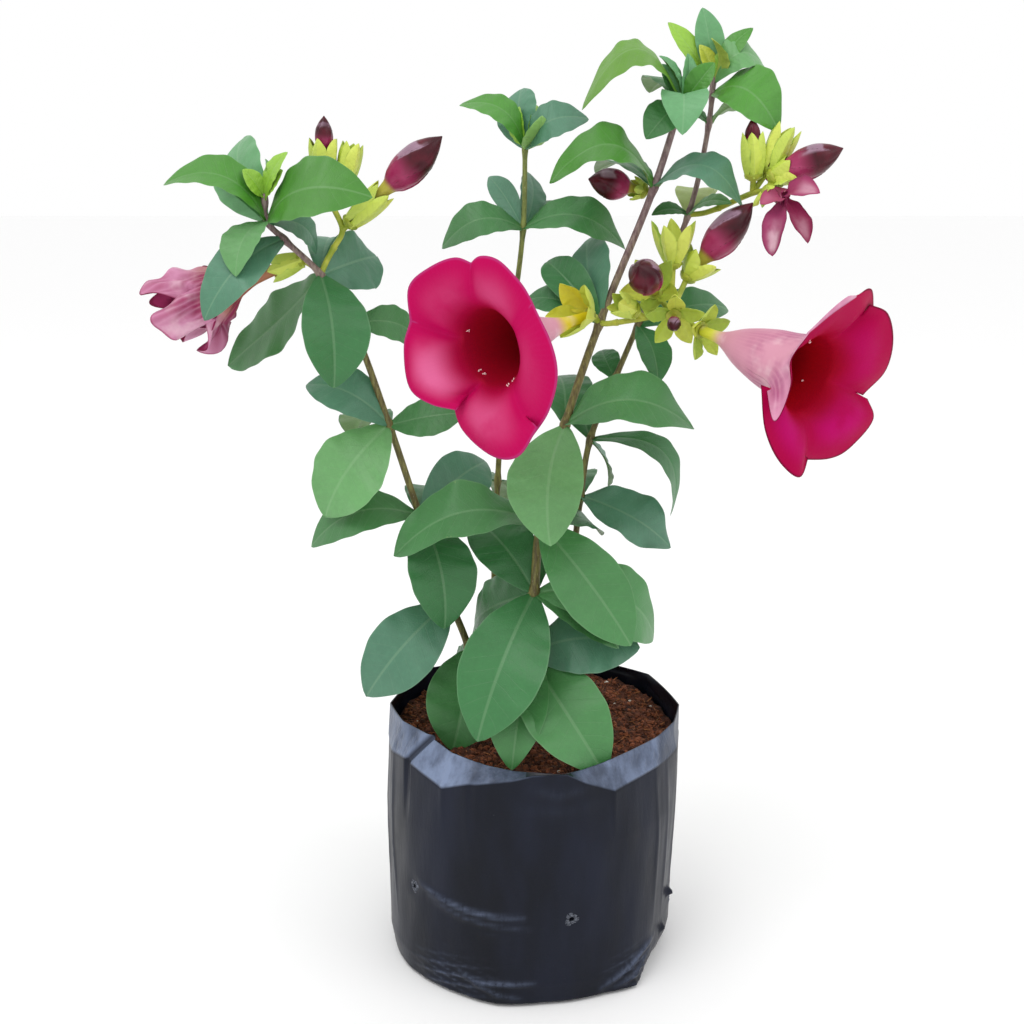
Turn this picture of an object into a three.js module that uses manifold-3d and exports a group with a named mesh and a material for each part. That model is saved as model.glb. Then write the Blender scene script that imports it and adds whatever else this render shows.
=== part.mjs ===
// Potted allamanda: a purple allamanda, a climber with whorled leaves, in a black nursery bag.
// Millimetres. +Z is up, +X to the right and +Y towards the back. The origin is the centre of
// the bag's flat base.

import * as THREE from "three";
import { mergeVertices } from "three/addons/utils/BufferGeometryUtils.js";
import Module from "manifold-3d";

const wasm = await Module();
wasm.setup();

// Driving dimensions of the bag and its filling
const BAG_WALL = 1.2;
const BAG_SIDES = 32;
const FOOT_LEVELS = [2, 13, 90];
const FOOT_BEVEL = 3;
const FIT_GAP = 0.35;
const MIX_FOOT = 68;
const MIX_GAP = 0.8;
const MIX_HEIGHT = 125;
const MIX_RISE_TO_BACK = 7;
const MIX_LUMP = 0.9;
const HOLE_RADIUS = 1.7;

// Driving dimensions of the plant
const LEAF_THICK = 0.8;
const PETAL_THICK = 0.8;
const STEM_FOOT = 92;
const STEM_SIDES = 5;
const LEAF_ROOT = 0.4;
const ROOT_HALF_WIDTH = 0.9;
const LEAF_SPANS = 4;
const PLAIN_LEAF = 32;
const SMALL_LEAF = 21;
const CALYX_RADIUS = 4;
const CALYX_SEAT = 1;

// Top of the bag: angle in degrees, radius and height of the fold, radius and height of the edge
const BAG_TOP = [
  [0, 81.5, 124, 81.5, 139],
  [34, 82, 134, 82.5, 140],
  [47, 82, 134, 82, 139],
  [90, 82, 134, 82, 139],
  [134, 82, 134, 82, 140],
  [146, 81.5, 136, 81, 144],
  [163, 81.5, 128, 77, 141],
  [180, 81.5, 121, 80, 141],
  [211, 80, 124, 71, 139],
  [233, 81, 118.5, 73, 135],
  [245, 81.3, 124, 72, 132],
  [269, 80, 131, 73, 130],
  [282, 80, 131, 73.5, 128.6],
  [302, 79, 118, 72.7, 132],
  [329, 78.5, 121, 76, 135.4],
  [345, 81, 122, 79.5, 137],
  [360, 81.5, 124, 81.5, 139],
];

// Lower part of the bag: angle in degrees, and radius at each of the foot levels. The two ears
// of the bottom fold stand out in front.
const BAG_FOOT = [
  [0, 75, 78, 80],
  [30, 76, 79, 80.5],
  [60, 78.5, 80, 81.5],
  [90, 76.5, 80, 81.5],
  [120, 78.5, 80, 81.5],
  [150, 77.5, 80.5, 81.5],
  [180, 79.5, 82, 82],
  [215, 81.5, 82.5, 82],
  [240, 82, 82.5, 81.5],
  [256, 84, 83, 81.5],
  [272, 80.5, 82, 81.5],
  [298, 80.5, 81.5, 81],
  [311, 84, 81.5, 80.5],
  [322, 76.5, 80, 80],
  [333, 72.5, 78, 80],
  [360, 75, 78, 80],
];

// Drain holes: angle in degrees and height
const DRAIN_HOLES = [[217, 53], [284, 49], [352, 25], [35, 50], [92, 52], [150, 48]];

// Each leafy stem: its line from the soil to the tip, its radius at both ends, and its leaves.
// A leaf grows from the point "from" and reaches "to" from there. Its arch is a part of its
// length, its roll turns the upper face to the front, and its fold raises both halves (degrees).
const STEMS = {
  main: {
    line: [[-2, -8, STEM_FOOT], [-3, -10, 172], [0, -16, 209], [3, -14, 247], [16, -10, 300],
      [34, -2, 353], [62, 10, 422], [76, 16, 466]],
    radius: [2.8, 1.7],
    leaves: [
      { from: [-3, -10, 172], to: [-9, -52, -44], wide: 26, arch: 0.16, fold: 12 },
      { from: [-3, -10, 172], to: [39, -50, -48], wide: 40, arch: 0.14, roll: 25, fold: 8 },
      { from: [-3, -10, 172], to: [60, -8, 9], wide: 40, arch: 0.2, roll: 48, fold: -6 },
      { from: [-3, -10, 172], to: [-2, 58, -8], wide: 27, arch: 0.2 },
      { from: [0, -16, 209], to: [-29, -46, -66], wide: 47, arch: 0.12, roll: 20, fold: 8 },
      { from: [0, -16, 209], to: [-34, 26, 38], wide: 34, arch: 0.1, roll: 40 },
      { from: [0, -16, 209], to: [46, -15, -24], wide: 26, arch: 0.14, roll: 30 },
      { from: [0, -16, 209], to: [-36, 42, -32], wide: 40, arch: 0.1, roll: 60 },
      { from: [0, -16, 209], to: [68, 14, -28], wide: 42, arch: 0.32, roll: 52 },
      { from: [0, -16, 209], to: [-4, 58, 8], wide: 27, arch: 0.18 },
      { from: [3, -14, 247], to: [-77, -14, -12], wide: 38, arch: 0.24, roll: 34, wave: 2 },
      { from: [3, -14, 247], to: [49, -27, -58], wide: 38, arch: 0.14, roll: 48, fold: 6 },
      { from: [3, -14, 247], to: [35, 30, -12], wide: 28, arch: 0.14, roll: 20 },
      { from: [3, -14, 247], to: [3, 52, 12], wide: 27, arch: 0.16 },
      { from: [16, -10, 300], to: [67, -8, 2], wide: 36, arch: 0.3, roll: 40, wave: 1.5 },
      { from: [16, -10, 300], to: [-10, -34, -56], wide: 42, arch: 0.12, fold: 6 },
      { from: [16, -10, 300], to: [-4, 48, 20], wide: 30, arch: 0.14 },
      { from: [34, -2, 353], to: [-6, 38, 42], wide: 31, arch: 0.1, roll: 50 },
      { from: [34, -2, 353], to: [-28, 32, 30], wide: 22, arch: 0.14, roll: 42, fold: 16 },
      { from: [34, -2, 353], to: [-41, 26, 9], wide: 22, arch: 0.14, roll: 40 },
      { from: [62, 10, 422], to: [-54, -6, 4], wide: 35, arch: 0.45, roll: 32, wave: 1 },
      { from: [62, 10, 422], to: [45, -14, -8], wide: 32, arch: 0.36, roll: 26, wave: 1 },
      { from: [62, 10, 422], to: [-28, 44, 8], wide: 22, arch: 0.16 },
      { from: [76, 16, 464], to: [-52, -5, 0], wide: 36, arch: 0.68, roll: 24, fold: -8 },
      { from: [76, 16, 464], to: [-19, -14, -17], wide: 20, arch: 0.2, roll: 40 },
      { from: [76, 16, 464], to: [-3, -30, -14], wide: 25, arch: 0.36, fold: 8 },
      { from: [76, 16, 464], to: [-14, 36, 8], wide: 26, arch: 0.24 },
      { from: [76, 16, 464], to: [-12, -8, 24], wide: 13, arch: 0.1, fold: 24 },
    ],
    shoots: [[76, 16, 464]],
    stalks: [
      [[34, -2, 353], [32, -5, 355], [31, -7, 356.5]],
      [[34, -2, 353], [37, -6.5, 353], [43, -9, 354]],
      [[62, 10, 422], [62, 13, 421], [61, 16, 420]],
    ],
  },
  left: {
    line: [[-18, 8, STEM_FOOT], [-36, 5, 170], [-46, 4, 198], [-62, 0, 248], [-77, -6, 299],
      [-95, -12, 353], [-110, -14, 379], [-128, -15, 397], [-136, -16, 406], [-137, -16, 420]],
    radius: [2.1, 1.4],
    leaves: [
      { from: [-36, 5, 170], to: [-9, -34, -46], wide: 36, arch: 0.12, roll: 14, fold: 4 },
      { from: [-36, 5, 170], to: [-10, 30, -38], wide: 31, arch: 0.1, roll: 60 },
      { from: [-46, 4, 198], to: [-45, -22, -48], wide: 39, arch: 0.22, roll: 52, wave: 1 },
      { from: [-46, 4, 198], to: [-10, 46, -14], wide: 30, arch: 0.18 },
      { from: [-62, 0, 248], to: [-59, -8, -13], wide: 30, arch: 0.3, roll: 40 },
      { from: [-62, 0, 248], to: [14, -30, -54], wide: 40, arch: 0.12, fold: 6 },
      { from: [-62, 0, 248], to: [36, 34, 24], wide: 32, arch: 0.16, roll: 50 },
      { from: [-62, 0, 248], to: [4, 52, 2], wide: 30, arch: 0.16 },
      { from: [-77, -6, 299], to: [-44, 6, 22], wide: 29, arch: 0.26, roll: 46 },
      { from: [-77, -6, 299], to: [-33, -14, -46], wide: 36, arch: 0.24, roll: 46, wave: 2 },
      { from: [-77, -6, 299], to: [40, -4, 8], wide: 24, arch: 0.1, roll: 50 },
      { from: [-77, -6, 299], to: [-24, 44, -14], wide: 28, arch: 0.18 },
      { from: [-95, -12, 353], to: [36, 12, -10], wide: 26, arch: 0.2, roll: 42 },
      { from: [-110, -14, 379], to: [8, -24, -54], wide: 36, arch: 0.14, fold: 10 },
      { from: [-110, -14, 379], to: [-57, 24, -50], wide: 42, arch: -0.06, roll: 50, wave: 1.5 },
      { from: [-110, -14, 379], to: [27, 28, 8], wide: 35, arch: 0.1, roll: 60, wave: 1.5 },
      { from: [-110, -14, 379], to: [2, 44, 14], wide: 20, arch: 0.2 },
      { from: [-128, -15, 397], to: [-38, -28, -36], wide: 36, arch: 0.16, roll: 42, wave: 1 },
      { from: [-136, -16, 406], to: [-50, -6, 20], wide: 28, arch: 0.3, roll: 34, fold: 6 },
      { from: [-136, -16, 406], to: [-13, -26, -20], wide: 27, arch: 0.2, fold: 4 },
      { from: [-136, -16, 406], to: [54, -22, 14], wide: 40, arch: 0.25, roll: 50 },
      { from: [-137, -16, 416], to: [12, -6, 25], wide: 14, arch: 0.1, roll: 60 },
      { from: [-136, -16, 406], to: [24, 8, -16], wide: 22, arch: 0.3, roll: 40 },
      { from: [-136, -16, 406], to: [-18, 34, 42], wide: 35, arch: 0.14, roll: 60 },
      { from: [-136, -16, 406], to: [-32, 26, 28], wide: 18, arch: 0.16, roll: 30 },
    ],
    shoots: [[-137, -16, 418]],
    stalks: [
      [[-110, -14, 379], [-113, -12, 382], [-117, -9.5, 385]],
      [[-110, -14, 379], [-107, -12, 386], [-103, -10, 393]],
    ],
  },
  middle: {
    line: [[-14, 28, STEM_FOOT], [-22, 31, 190], [-20, 32, 260], [-16, 34, 317], [-6, 34, 399],
      [-5, 34, 443]],
    radius: [1.8, 1.3],
    leaves: [
      { from: [-20, 32, 260], to: [-30, 44, -24], wide: 28, arch: 0.14 },
      { from: [-20, 32, 260], to: [14, 42, -34], wide: 28, arch: 0.14 },
      { from: [-16, 34, 317], to: [-30, 36, 14], wide: 28, arch: 0.18 },
      { from: [-16, 34, 317], to: [4, 46, 12], wide: 28, arch: 0.18 },
      { from: [-6, 34, 399], to: [-44, -6, -8], wide: 26, arch: 0.34, roll: 42 },
      { from: [-6, 34, 399], to: [55, -7, -8], wide: 27, arch: 0.3, roll: 42, wave: 1 },
      { from: [-6, 34, 399], to: [-19, 24, 28], wide: 14, arch: 0.1, roll: 50 },
      { from: [-6, 34, 399], to: [4, 24, 30], wide: 20, arch: 0.1, roll: 50 },
      { from: [-6, 34, 399], to: [8, 46, 4], wide: 26, arch: 0.24 },
      { from: [-5, 34, 441], to: [-34, 2, 24], wide: 24, arch: 0.3, roll: 34 },
      { from: [-5, 34, 441], to: [33, -6, 16], wide: 28, arch: 0.3, roll: 46 },
      { from: [-5, 34, 441], to: [-3, 20, 32], wide: 26, arch: 0.12, roll: 40 },
      { from: [-5, 34, 441], to: [4, -12, 17], wide: 17, arch: 0.24, fold: 16 },
    ],
    shoots: [[-5, 34, 441]],
    stalks: [],
  },
  back: {
    line: [[12, 22, STEM_FOOT], [20, 22, 190], [26, 20, 254], [31, 21, 286], [44, 22, 319],
      [56, 23, 348], [82, 26, 407], [92, 30, 454], [94, 32, 478]],
    radius: [1.9, 1.3],
    leaves: [
      { from: [26, 20, 254], to: [51, -6, -26], wide: 32, arch: 0.14, roll: 46, wave: 2 },
      { from: [26, 20, 254], to: [-6, 54, -4], wide: 28, arch: 0.18 },
      { from: [31, 21, 286], to: [47, -2, -41], wide: 22, arch: 0.44, roll: 30 },
      { from: [31, 21, 286], to: [-14, 46, 10], wide: 28, arch: 0.18 },
      { from: [31, 21, 286], to: [12, 8, -28], wide: 20, arch: 0.12, roll: 30 },
      { from: [44, 22, 319], to: [-6, 20, 14], wide: 16, arch: 0.12, roll: 20 },
      { from: [56, 23, 348], to: [9, -26, -26], wide: 20, arch: 0.12, fold: 8 },
      { from: [56, 23, 348], to: [52, 18, 8], wide: 26, arch: 0.18, roll: 40 },
      { from: [56, 23, 348], to: [10, 48, 6], wide: 26, arch: 0.2 },
      { from: [82, 26, 407], to: [-20, -7, 1], wide: 10, arch: 0.16, roll: 40 },
      { from: [82, 26, 407], to: [20, -18, 8], wide: 14, arch: 0.14, roll: 30 },
      { from: [82, 26, 407], to: [16, 40, 8], wide: 24, arch: 0.2 },
      { from: [92, 30, 454], to: [33, 2, 4], wide: 18, arch: 0.3, roll: -28 },
      { from: [92, 30, 454], to: [-15, 6, 7], wide: 12, arch: 0.14, roll: 20 },
      { from: [93.5, 31.5, 469], to: [33, -20, -17], wide: 33, arch: 0.4, roll: 44 },
      { from: [94, 32, 475], to: [27, 4, 9], wide: 24, arch: 0.5, roll: 46 },
      { from: [94, 32, 475], to: [-7, 2, 38], wide: 16, arch: 0.06, roll: 70 },
      { from: [94, 32, 475], to: [-24, 2, 31], wide: 14, arch: 0.08, roll: 60 },
      { from: [94, 32, 475], to: [19, -2, 28], wide: 13, arch: 0.12, roll: 60 },
      { from: [94, 32, 475], to: [-2, -10, 22], wide: 18, arch: 0.16, fold: 10, roll: 30 },
      { from: [94, 32, 475], to: [4, 38, 14], wide: 24, arch: 0.24 },
    ],
    shoots: [[94, 32, 476]],
    stalks: [[[82, 26, 407], [90, 24, 408], [98, 20, 411]]],
  },
};

// Each cluster of calyces: its stalks, and for each calyx where it starts, which way it opens,
// how long its lobes are and how far they spread (degrees). The first stalk meets a stem's stalk.
const CALYX_CLUSTERS = {
  calyx_front_bloom: {
    stalks: [],
    calyces: [{ at: [28, -10, 357.5], axis: [-58, -64, -10], long: 21, spread: 34, turn: 10 }],
  },
  calyx_wilted_bloom: {
    stalks: [],
    calyces: [{ at: [-121, -8, 386], axis: [-65, 4, -22], long: 17, spread: 18, turn: 0 }],
  },
  calyces_right: {
    stalks: [
      [[43, -9, 354], [57, -14, 357], [70, -14, 360]],
      [[70, -14, 360], [85, -16, 351]],
      [[70, -14, 360], [71, -8, 384]],
      [[70, -14, 360], [79, -5, 377]],
      [[70, -14, 360], [62, -13, 369]],
      [[57, -14, 357], [51, -17, 361]],
    ],
    calyces: [
      { at: [85, -16, 351], axis: [54, -56, -16], long: 17, spread: 58, turn: 20 },
      { at: [71, -8, 384], axis: [0, -2, 20], long: 25, spread: 20, turn: 20 },
      { at: [79, -5, 377], axis: [32, -3, 38], long: 18, spread: 28, turn: 0 },
      { at: [61.5, -14, 370], axis: [-11, -30, 16], long: 20, spread: 48, turn: 54 },
      { at: [71, -19, 359], axis: [-1, -12, -6], long: 17, spread: 62, turn: 18 },
      { at: [51, -17, 361], axis: [-13, -5, 6], long: 15, spread: 10, turn: 0 },
    ],
  },
  calyces_upper_left: {
    stalks: [
      [[-103, -10, 393], [-99, -8, 401], [-104, -7, 414], [-108, -6, 427]],
      [[-99, -8, 401], [-95, -8.5, 405]],
      [[-104, -7, 414], [-97, -5, 426]],
    ],
    calyces: [
      { at: [-95, -8.5, 405], axis: [48, -6.5, 43], long: 25, spread: 14, turn: 0 },
      { at: [-108, -6, 427], axis: [1, 0, 31], long: 21, spread: 22, turn: 18 },
      { at: [-97, -5, 426], axis: [5, 2, 23], long: 19, spread: 20, turn: 54 },
    ],
  },
  calyces_upper_right: {
    stalks: [
      [[98, 20, 411], [113, 8, 419], [120, 0, 421]],
      [[113, 8, 419], [113, 6, 428]],
      [[113, 8, 419], [121, 8, 431]],
      [[120, 0, 421], [122, 2, 427]],
    ],
    calyces: [
      { at: [120, 0, 421], axis: [14, -10, -20], long: 12, spread: 64, turn: 10 },
      { at: [113, 6, 428], axis: [-2, -2, 29], long: 23, spread: 15, turn: 18 },
      { at: [121, 8, 431], axis: [11, 0, 26], long: 24, spread: 16, turn: 54 },
      { at: [122, 2, 427], axis: [35, -4, 16], long: 13, spread: 28, turn: 0 },
    ],
  },
  calyx_back_bud: {
    stalks: [[[61, 16, 420], [60.5, 20, 419.5], [58, 21, 419.8]]],
    calyces: [{ at: [57, 21, 420], axis: [-29, -5, 6], long: 9, spread: 26, turn: 0 }],
  },
};

// Shapes of a corolla from its neck to its rim, as a part of its length and a radius. The lobes
// part beyond the throat row: the edge between two lobes is drawn in by the notch and back by
// the cut. The rim hangs by the droop.
const OPEN_SHAPE = {
  profile: [[0, 2.4], [0.16, 3.6], [0.36, 11.5], [0.72, 18.5], [0.9, 28], [0.98, 40], [1, 51]],
  throat: 3, notch: 0.26, cut: 0.2, pinch: 3, droop: 0, steps: 25,
};
const WILTED_SHAPE = {
  profile: [[0, 2.4], [0.25, 3.4], [0.5, 6.5], [0.76, 17], [0.94, 24], [1.08, 20]],
  throat: 2, notch: 0.3, cut: 0.25, pinch: 2, droop: 9, steps: 20,
};
const FADING_SHAPE = {
  profile: [[0, 2.4], [0.25, 3.6], [0.45, 8], [0.85, 14], [1.15, 15]],
  throat: 2, notch: 0, cut: 0.65, pinch: 1.6, droop: 0, steps: 20,
};

// Each corolla: its shape, where it starts, the middle of its mouth, the turn of a first lobe, and
// the angle where two lobes overlap so far that no notch parts them
const COROLLAS = {
  bloom_front: { ...OPEN_SHAPE, base: [28, -10, 357.5], mouth: [-31, -74, 347], turn: 63, overlap: 315 },
  bloom_right: { ...OPEN_SHAPE, base: [85, -16, 351], mouth: [141, -73, 333], turn: 20, overlap: 310 },
  bloom_wilted: { ...WILTED_SHAPE, base: [-121, -8, 386], mouth: [-189, -5, 362], turn: 0, overlap: 240 },
  bloom_fading: { ...FADING_SHAPE, base: [120, 0, 421], mouth: [134, -10, 401], turn: 70, overlap: 90 },
};

// Each closed bud, from its calyx to its point, and its greatest width
const BUDS = {
  bud_left_long: { base: [-95, -8.5, 405], tip: [-47, -15, 448], wide: 18 },
  bud_left_small: { base: [-108, -6, 427], tip: [-107, -6, 458], wide: 9 },
  bud_right_long: { base: [79, -5, 377], tip: [111, -8, 415], wide: 18 },
  bud_right_end_on: { base: [61.5, -14, 370], tip: [50.5, -44, 386], wide: 18 },
  bud_right_small: { base: [71, -19, 359], tip: [70, -31, 353], wide: 7 },
  bud_top_long: { base: [122, 2, 427], tip: [157, -2, 442], wide: 17 },
  bud_top_small: { base: [113, 6, 428], tip: [111, 4, 457], wide: 8 },
  bud_behind_stem: { base: [57, 21, 420], tip: [28, 16, 426], wide: 17 },
};

const LEAF_COLOUR = "#3f8747";
const YOUNG_COLOUR = "#a9bf45";
const BLOOM_COLOUR = "#c31b60";
const BUD_COLOUR = "#6d1a33";

const vec = (point) => new THREE.Vector3(...point);
const radians = THREE.MathUtils.degToRad;
const up = new THREE.Vector3(0, 0, 1);
const front = new THREE.Vector3(0, -1, 0);

// Linear reading of rows that start with an angle or a position
function readRows(rows, at, column) {
  const next = Math.max(1, rows.findIndex((row) => row[0] >= at));
  const [low, high] = [rows[next - 1], rows[next]];
  return THREE.MathUtils.mapLinear(at, low[0], high[0], low[column], high[column]);
}

// A closed solid from a list of points and a list of triangles. Triangles that have shrunk to a
// line, as at a pointed tip, are left out.
function closedSolid(points, triangles) {
  const geometry = new THREE.BufferGeometry().setFromPoints(points);
  geometry.setIndex(triangles.flat());
  const merged = mergeVertices(geometry, 1e-4);
  const corners = merged.index.array;
  const whole = triangles.map((_, index) => Array.from(corners.slice(3 * index, 3 * index + 3)))
    .filter(([a, b, c]) => a !== b && b !== c && c !== a);
  const mesh = new wasm.Mesh({
    numProp: 3,
    vertProperties: new Float32Array(merged.attributes.position.array),
    triVerts: new Uint32Array(whole.flat()),
  });
  return new wasm.Manifold(mesh);
}

// A solid through rings of points, closed by a fan at both ends
function loft(rings) {
  const count = rings[0].length;
  const middle = (ring) => ring.reduce((sum, p) => sum.add(p), vec([0, 0, 0])).divideScalar(count);
  const points = [...rings.flat(), middle(rings[0]), middle(rings.at(-1))];
  const triangles = [];
  for (let row = 0; row + 1 < rings.length; row++) {
    for (let side = 0; side < count; side++) {
      const next = (side + 1) % count;
      const [a, b] = [row * count + side, row * count + next];
      triangles.push([a, b, b + count], [a, b + count, a + count]);
    }
  }
  const last = (rings.length - 1) * count;
  for (let side = 0; side < count; side++) {
    const next = (side + 1) % count;
    triangles.push([rings.length * count, next, side]);
    triangles.push([rings.length * count + 1, last + side, last + next]);
  }
  return closedSolid(points, triangles);
}

// A thin plate between two like grids of points, so that both faces split alike.
// Rows run outwards. A closed plate goes right round, and an open one has two side edges.
function plate(upper, lower, closed) {
  const rows = upper.length;
  const across = upper[0].length;
  const points = [...upper.flat(), ...lower.flat()];
  const under = rows * across;
  const at = (row, column) => row * across + (column % across);
  const triangles = [];
  const steps = closed ? across : across - 1;
  for (let row = 0; row + 1 < rows; row++) {
    for (let column = 0; column < steps; column++) {
      const [a, b] = [at(row, column), at(row, column + 1)];
      const [c, d] = [at(row + 1, column + 1), at(row + 1, column)];
      triangles.push([a, b, c], [a, c, d]);
      triangles.push([under + a, under + c, under + b], [under + a, under + d, under + c]);
    }
    if (!closed) {
      const [a, d] = [at(row, 0), at(row + 1, 0)];
      const [b, c] = [at(row, steps), at(row + 1, steps)];
      triangles.push([a, d, under + d], [a, under + d, under + a]);
      triangles.push([b, under + c, c], [b, under + b, under + c]);
    }
  }
  for (let column = 0; column < steps; column++) {
    const [a, b] = [at(0, column), at(0, column + 1)];
    const [d, c] = [at(rows - 1, column), at(rows - 1, column + 1)];
    triangles.push([a, under + b, b], [a, under + a, under + b]);
    triangles.push([d, c, under + c], [d, under + c, under + d]);
  }
  return closedSolid(points, triangles);
}

// A round rod along a smooth line through its points, thinner towards its tip
function rod(line, startRadius, endRadius, sides, stepsEach) {
  const path = new THREE.CatmullRomCurve3(line.map(vec), false, "centripetal");
  const steps = stepsEach * (line.length - 1);
  const normal = Math.abs(path.getTangent(0).y) < 0.8 ? vec([0, 1, 0]) : vec([1, 0, 0]);
  const rings = [];
  for (let step = 0; step <= steps; step++) {
    const centre = path.getPoint(step / steps);
    const along = path.getTangent(step / steps);
    normal.addScaledVector(along, -normal.dot(along)).normalize();
    const binormal = along.clone().cross(normal);
    const radius = THREE.MathUtils.lerp(startRadius, endRadius, step / steps);
    rings.push(Array.from({ length: sides }, (_, side) => {
      const angle = (2 * Math.PI * side) / sides;
      return centre.clone()
        .addScaledVector(normal, radius * Math.cos(angle))
        .addScaledVector(binormal, radius * Math.sin(angle));
    }));
  }
  return loft(rings);
}

// Half width of a leaf along its length, 1 at the widest place just past the middle
function leafOutline(t) {
  return 2.72 * t ** 0.85 * (1 - t) ** 0.62;
}

// The way that the upper face of a leaf looks
function leafFace(along, roll) {
  const raised = up.clone().addScaledVector(along, -up.dot(along)).normalize();
  const turned = along.clone().cross(raised);
  if (turned.dot(front) < 0) {
    turned.negate();
  }
  return raised.multiplyScalar(Math.cos(radians(roll)))
    .addScaledVector(turned, Math.sin(radians(roll)));
}

// A blade: an arched midrib with two halves that fold, and wave at their edges. It starts just
// off the middle of what carries it. A simple blade has no midrib of its own.
function blade({ from, to, wide, arch = 0.15, fold = 0, wave = 0, face, spans, simple }) {
  const length = vec(to).length();
  const along = vec(to).normalize();
  const root = vec(from).addScaledVector(along, LEAF_ROOT);
  const reach = vec(to).addScaledVector(along, -LEAF_ROOT);
  const side = along.clone().cross(face);
  const upper = [];
  const lower = [];
  for (let span = 0; span <= spans; span++) {
    const t = span / spans;
    const bow = 4 * arch * t * (1 - t);
    const rib = root.clone().addScaledVector(reach, t).addScaledVector(face, bow * length);
    const slope = 4 * arch * (1 - 2 * t);
    const normal = face.clone().addScaledVector(along, -slope).normalize();
    const half = span === 0 ? ROOT_HALF_WIDTH : 0.5 * wide * leafOutline(t);
    const ripple = simple || span === spans ? 0 : wave;
    const row = (simple ? [-1, 1] : [-1, 0, 1]).map((v) => {
      const rise = half * Math.abs(v) * Math.tan(radians(fold))
        + Math.abs(v) * ripple * Math.sin(2 * Math.PI * (2.2 * t + 0.25 * v));
      return rib.clone().addScaledVector(side, v * half).addScaledVector(normal, rise);
    });
    upper.push(row.map((p) => p.clone().addScaledVector(normal, LEAF_THICK / 2)));
    lower.push(row.map((p) => p.clone().addScaledVector(normal, -LEAF_THICK / 2)));
  }
  return plate(upper, lower, false);
}

function leaf(shape) {
  const face = leafFace(vec(shape.to).normalize(), shape.roll ?? 0);
  const spans = shape.wide < SMALL_LEAF ? LEAF_SPANS - 1 : LEAF_SPANS;
  return blade({ ...shape, face, spans, simple: shape.wide < PLAIN_LEAF });
}

// A spray of young leaves, still upright, at the tip of a stem
function youngShoot(from) {
  const tips = [[-9, -5, 15], [10, -5, 13], [1, 8, 17]];
  return tips.map((to) => {
    const face = leafFace(vec(to).normalize(), 0);
    return blade({ from, to, wide: 11, arch: 0.12, face, spans: 2, simple: true });
  });
}

const stemRod = (stem, extra) =>
  rod(stem.line, stem.radius[0] + extra, stem.radius[1] + extra, STEM_SIDES, 1);

const stalkRod = (line) => rod(line, 1.5, 1.5, 5, 1);

// Joins solids into one body. A hollow that they close in between them is filled.
function joined(solids) {
  const bodies = wasm.Manifold.union(solids).decompose();
  return wasm.Manifold.union(bodies.filter((body) => body.volume() > 0));
}

// One leafy stem, with its leaves and its flower stalks sunk into it
function leafyStem(stem) {
  return joined([
    stemRod(stem, 0),
    ...stem.leaves.map(leaf),
    ...stem.shoots.flatMap(youngShoot),
    ...stem.stalks.map(stalkRod),
  ]);
}

// Directions for a flower: out of its mouth, to the right as it is looked into, and up
function flowerFrame(axis) {
  const out = axis.clone().normalize();
  const right = up.clone().cross(out).normalize();
  return { out, right, top: out.clone().cross(right) };
}

// Away from a flower's axis, at an angle as it is looked into
const outward = ({ right, top }, angle) =>
  right.clone().multiplyScalar(Math.cos(radians(angle)))
    .addScaledVector(top, Math.sin(radians(angle)));

// A calyx: a small cup with five pointed lobes round it
function calyx({ at, axis, long, spread, turn }) {
  const frame = flowerFrame(vec(axis));
  const start = vec(at);
  const ends = [-2.5, CALYX_SEAT].map((step) =>
    start.clone().addScaledVector(frame.out, step).toArray());
  const lobes = [0, 72, 144, 216, 288].map((angle) => {
    const away = outward(frame, angle + turn);
    const clear = Math.max(0.85 * CALYX_RADIUS - 2.3 * Math.tan(radians(spread)), 1);
    const root = start.clone().addScaledVector(away, clear)
      .addScaledVector(frame.out, -1.5);
    const to = frame.out.clone().multiplyScalar(long * Math.cos(radians(spread)))
      .addScaledVector(away, long * Math.sin(radians(spread)));
    const along = to.clone().normalize();
    const face = frame.out.clone().addScaledVector(along, -frame.out.dot(along)).normalize();
    const wide = Math.min(0.54 * long, 1.5 * (clear + 0.5 * long * Math.sin(radians(spread))));
    return blade({
      from: root.toArray(), to: to.toArray(), wide, arch: -0.08, face, spans: 2, simple: true,
    });
  });
  return [rod(ends, 0.8 * CALYX_RADIUS, 1.1 * CALYX_RADIUS, 5, 1), ...lobes];
}

// A cluster of calyces on its stalks. The first stalk starts just clear of the stem's own stalk.
function calyxCluster({ stalks, calyces }) {
  const lines = stalks.map((line) => line.map(vec));
  if (lines.length > 0) {
    const [first, second] = lines[0];
    first.lerp(second, FIT_GAP / first.distanceTo(second));
  }
  const rods = lines.map((line) => stalkRod(line.map((p) => p.toArray())));
  return joined([...rods, ...calyces.flatMap(calyx)]);
}

// Where a corolla or a bud starts: just clear of the cup of its calyx
function flowerSeat(base, tip) {
  const axis = vec(tip).sub(vec(base));
  const frame = flowerFrame(axis);
  const seat = CALYX_SEAT + FIT_GAP;
  return { frame, length: axis.length() - seat, start: vec(base).addScaledVector(frame.out, seat) };
}

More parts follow.
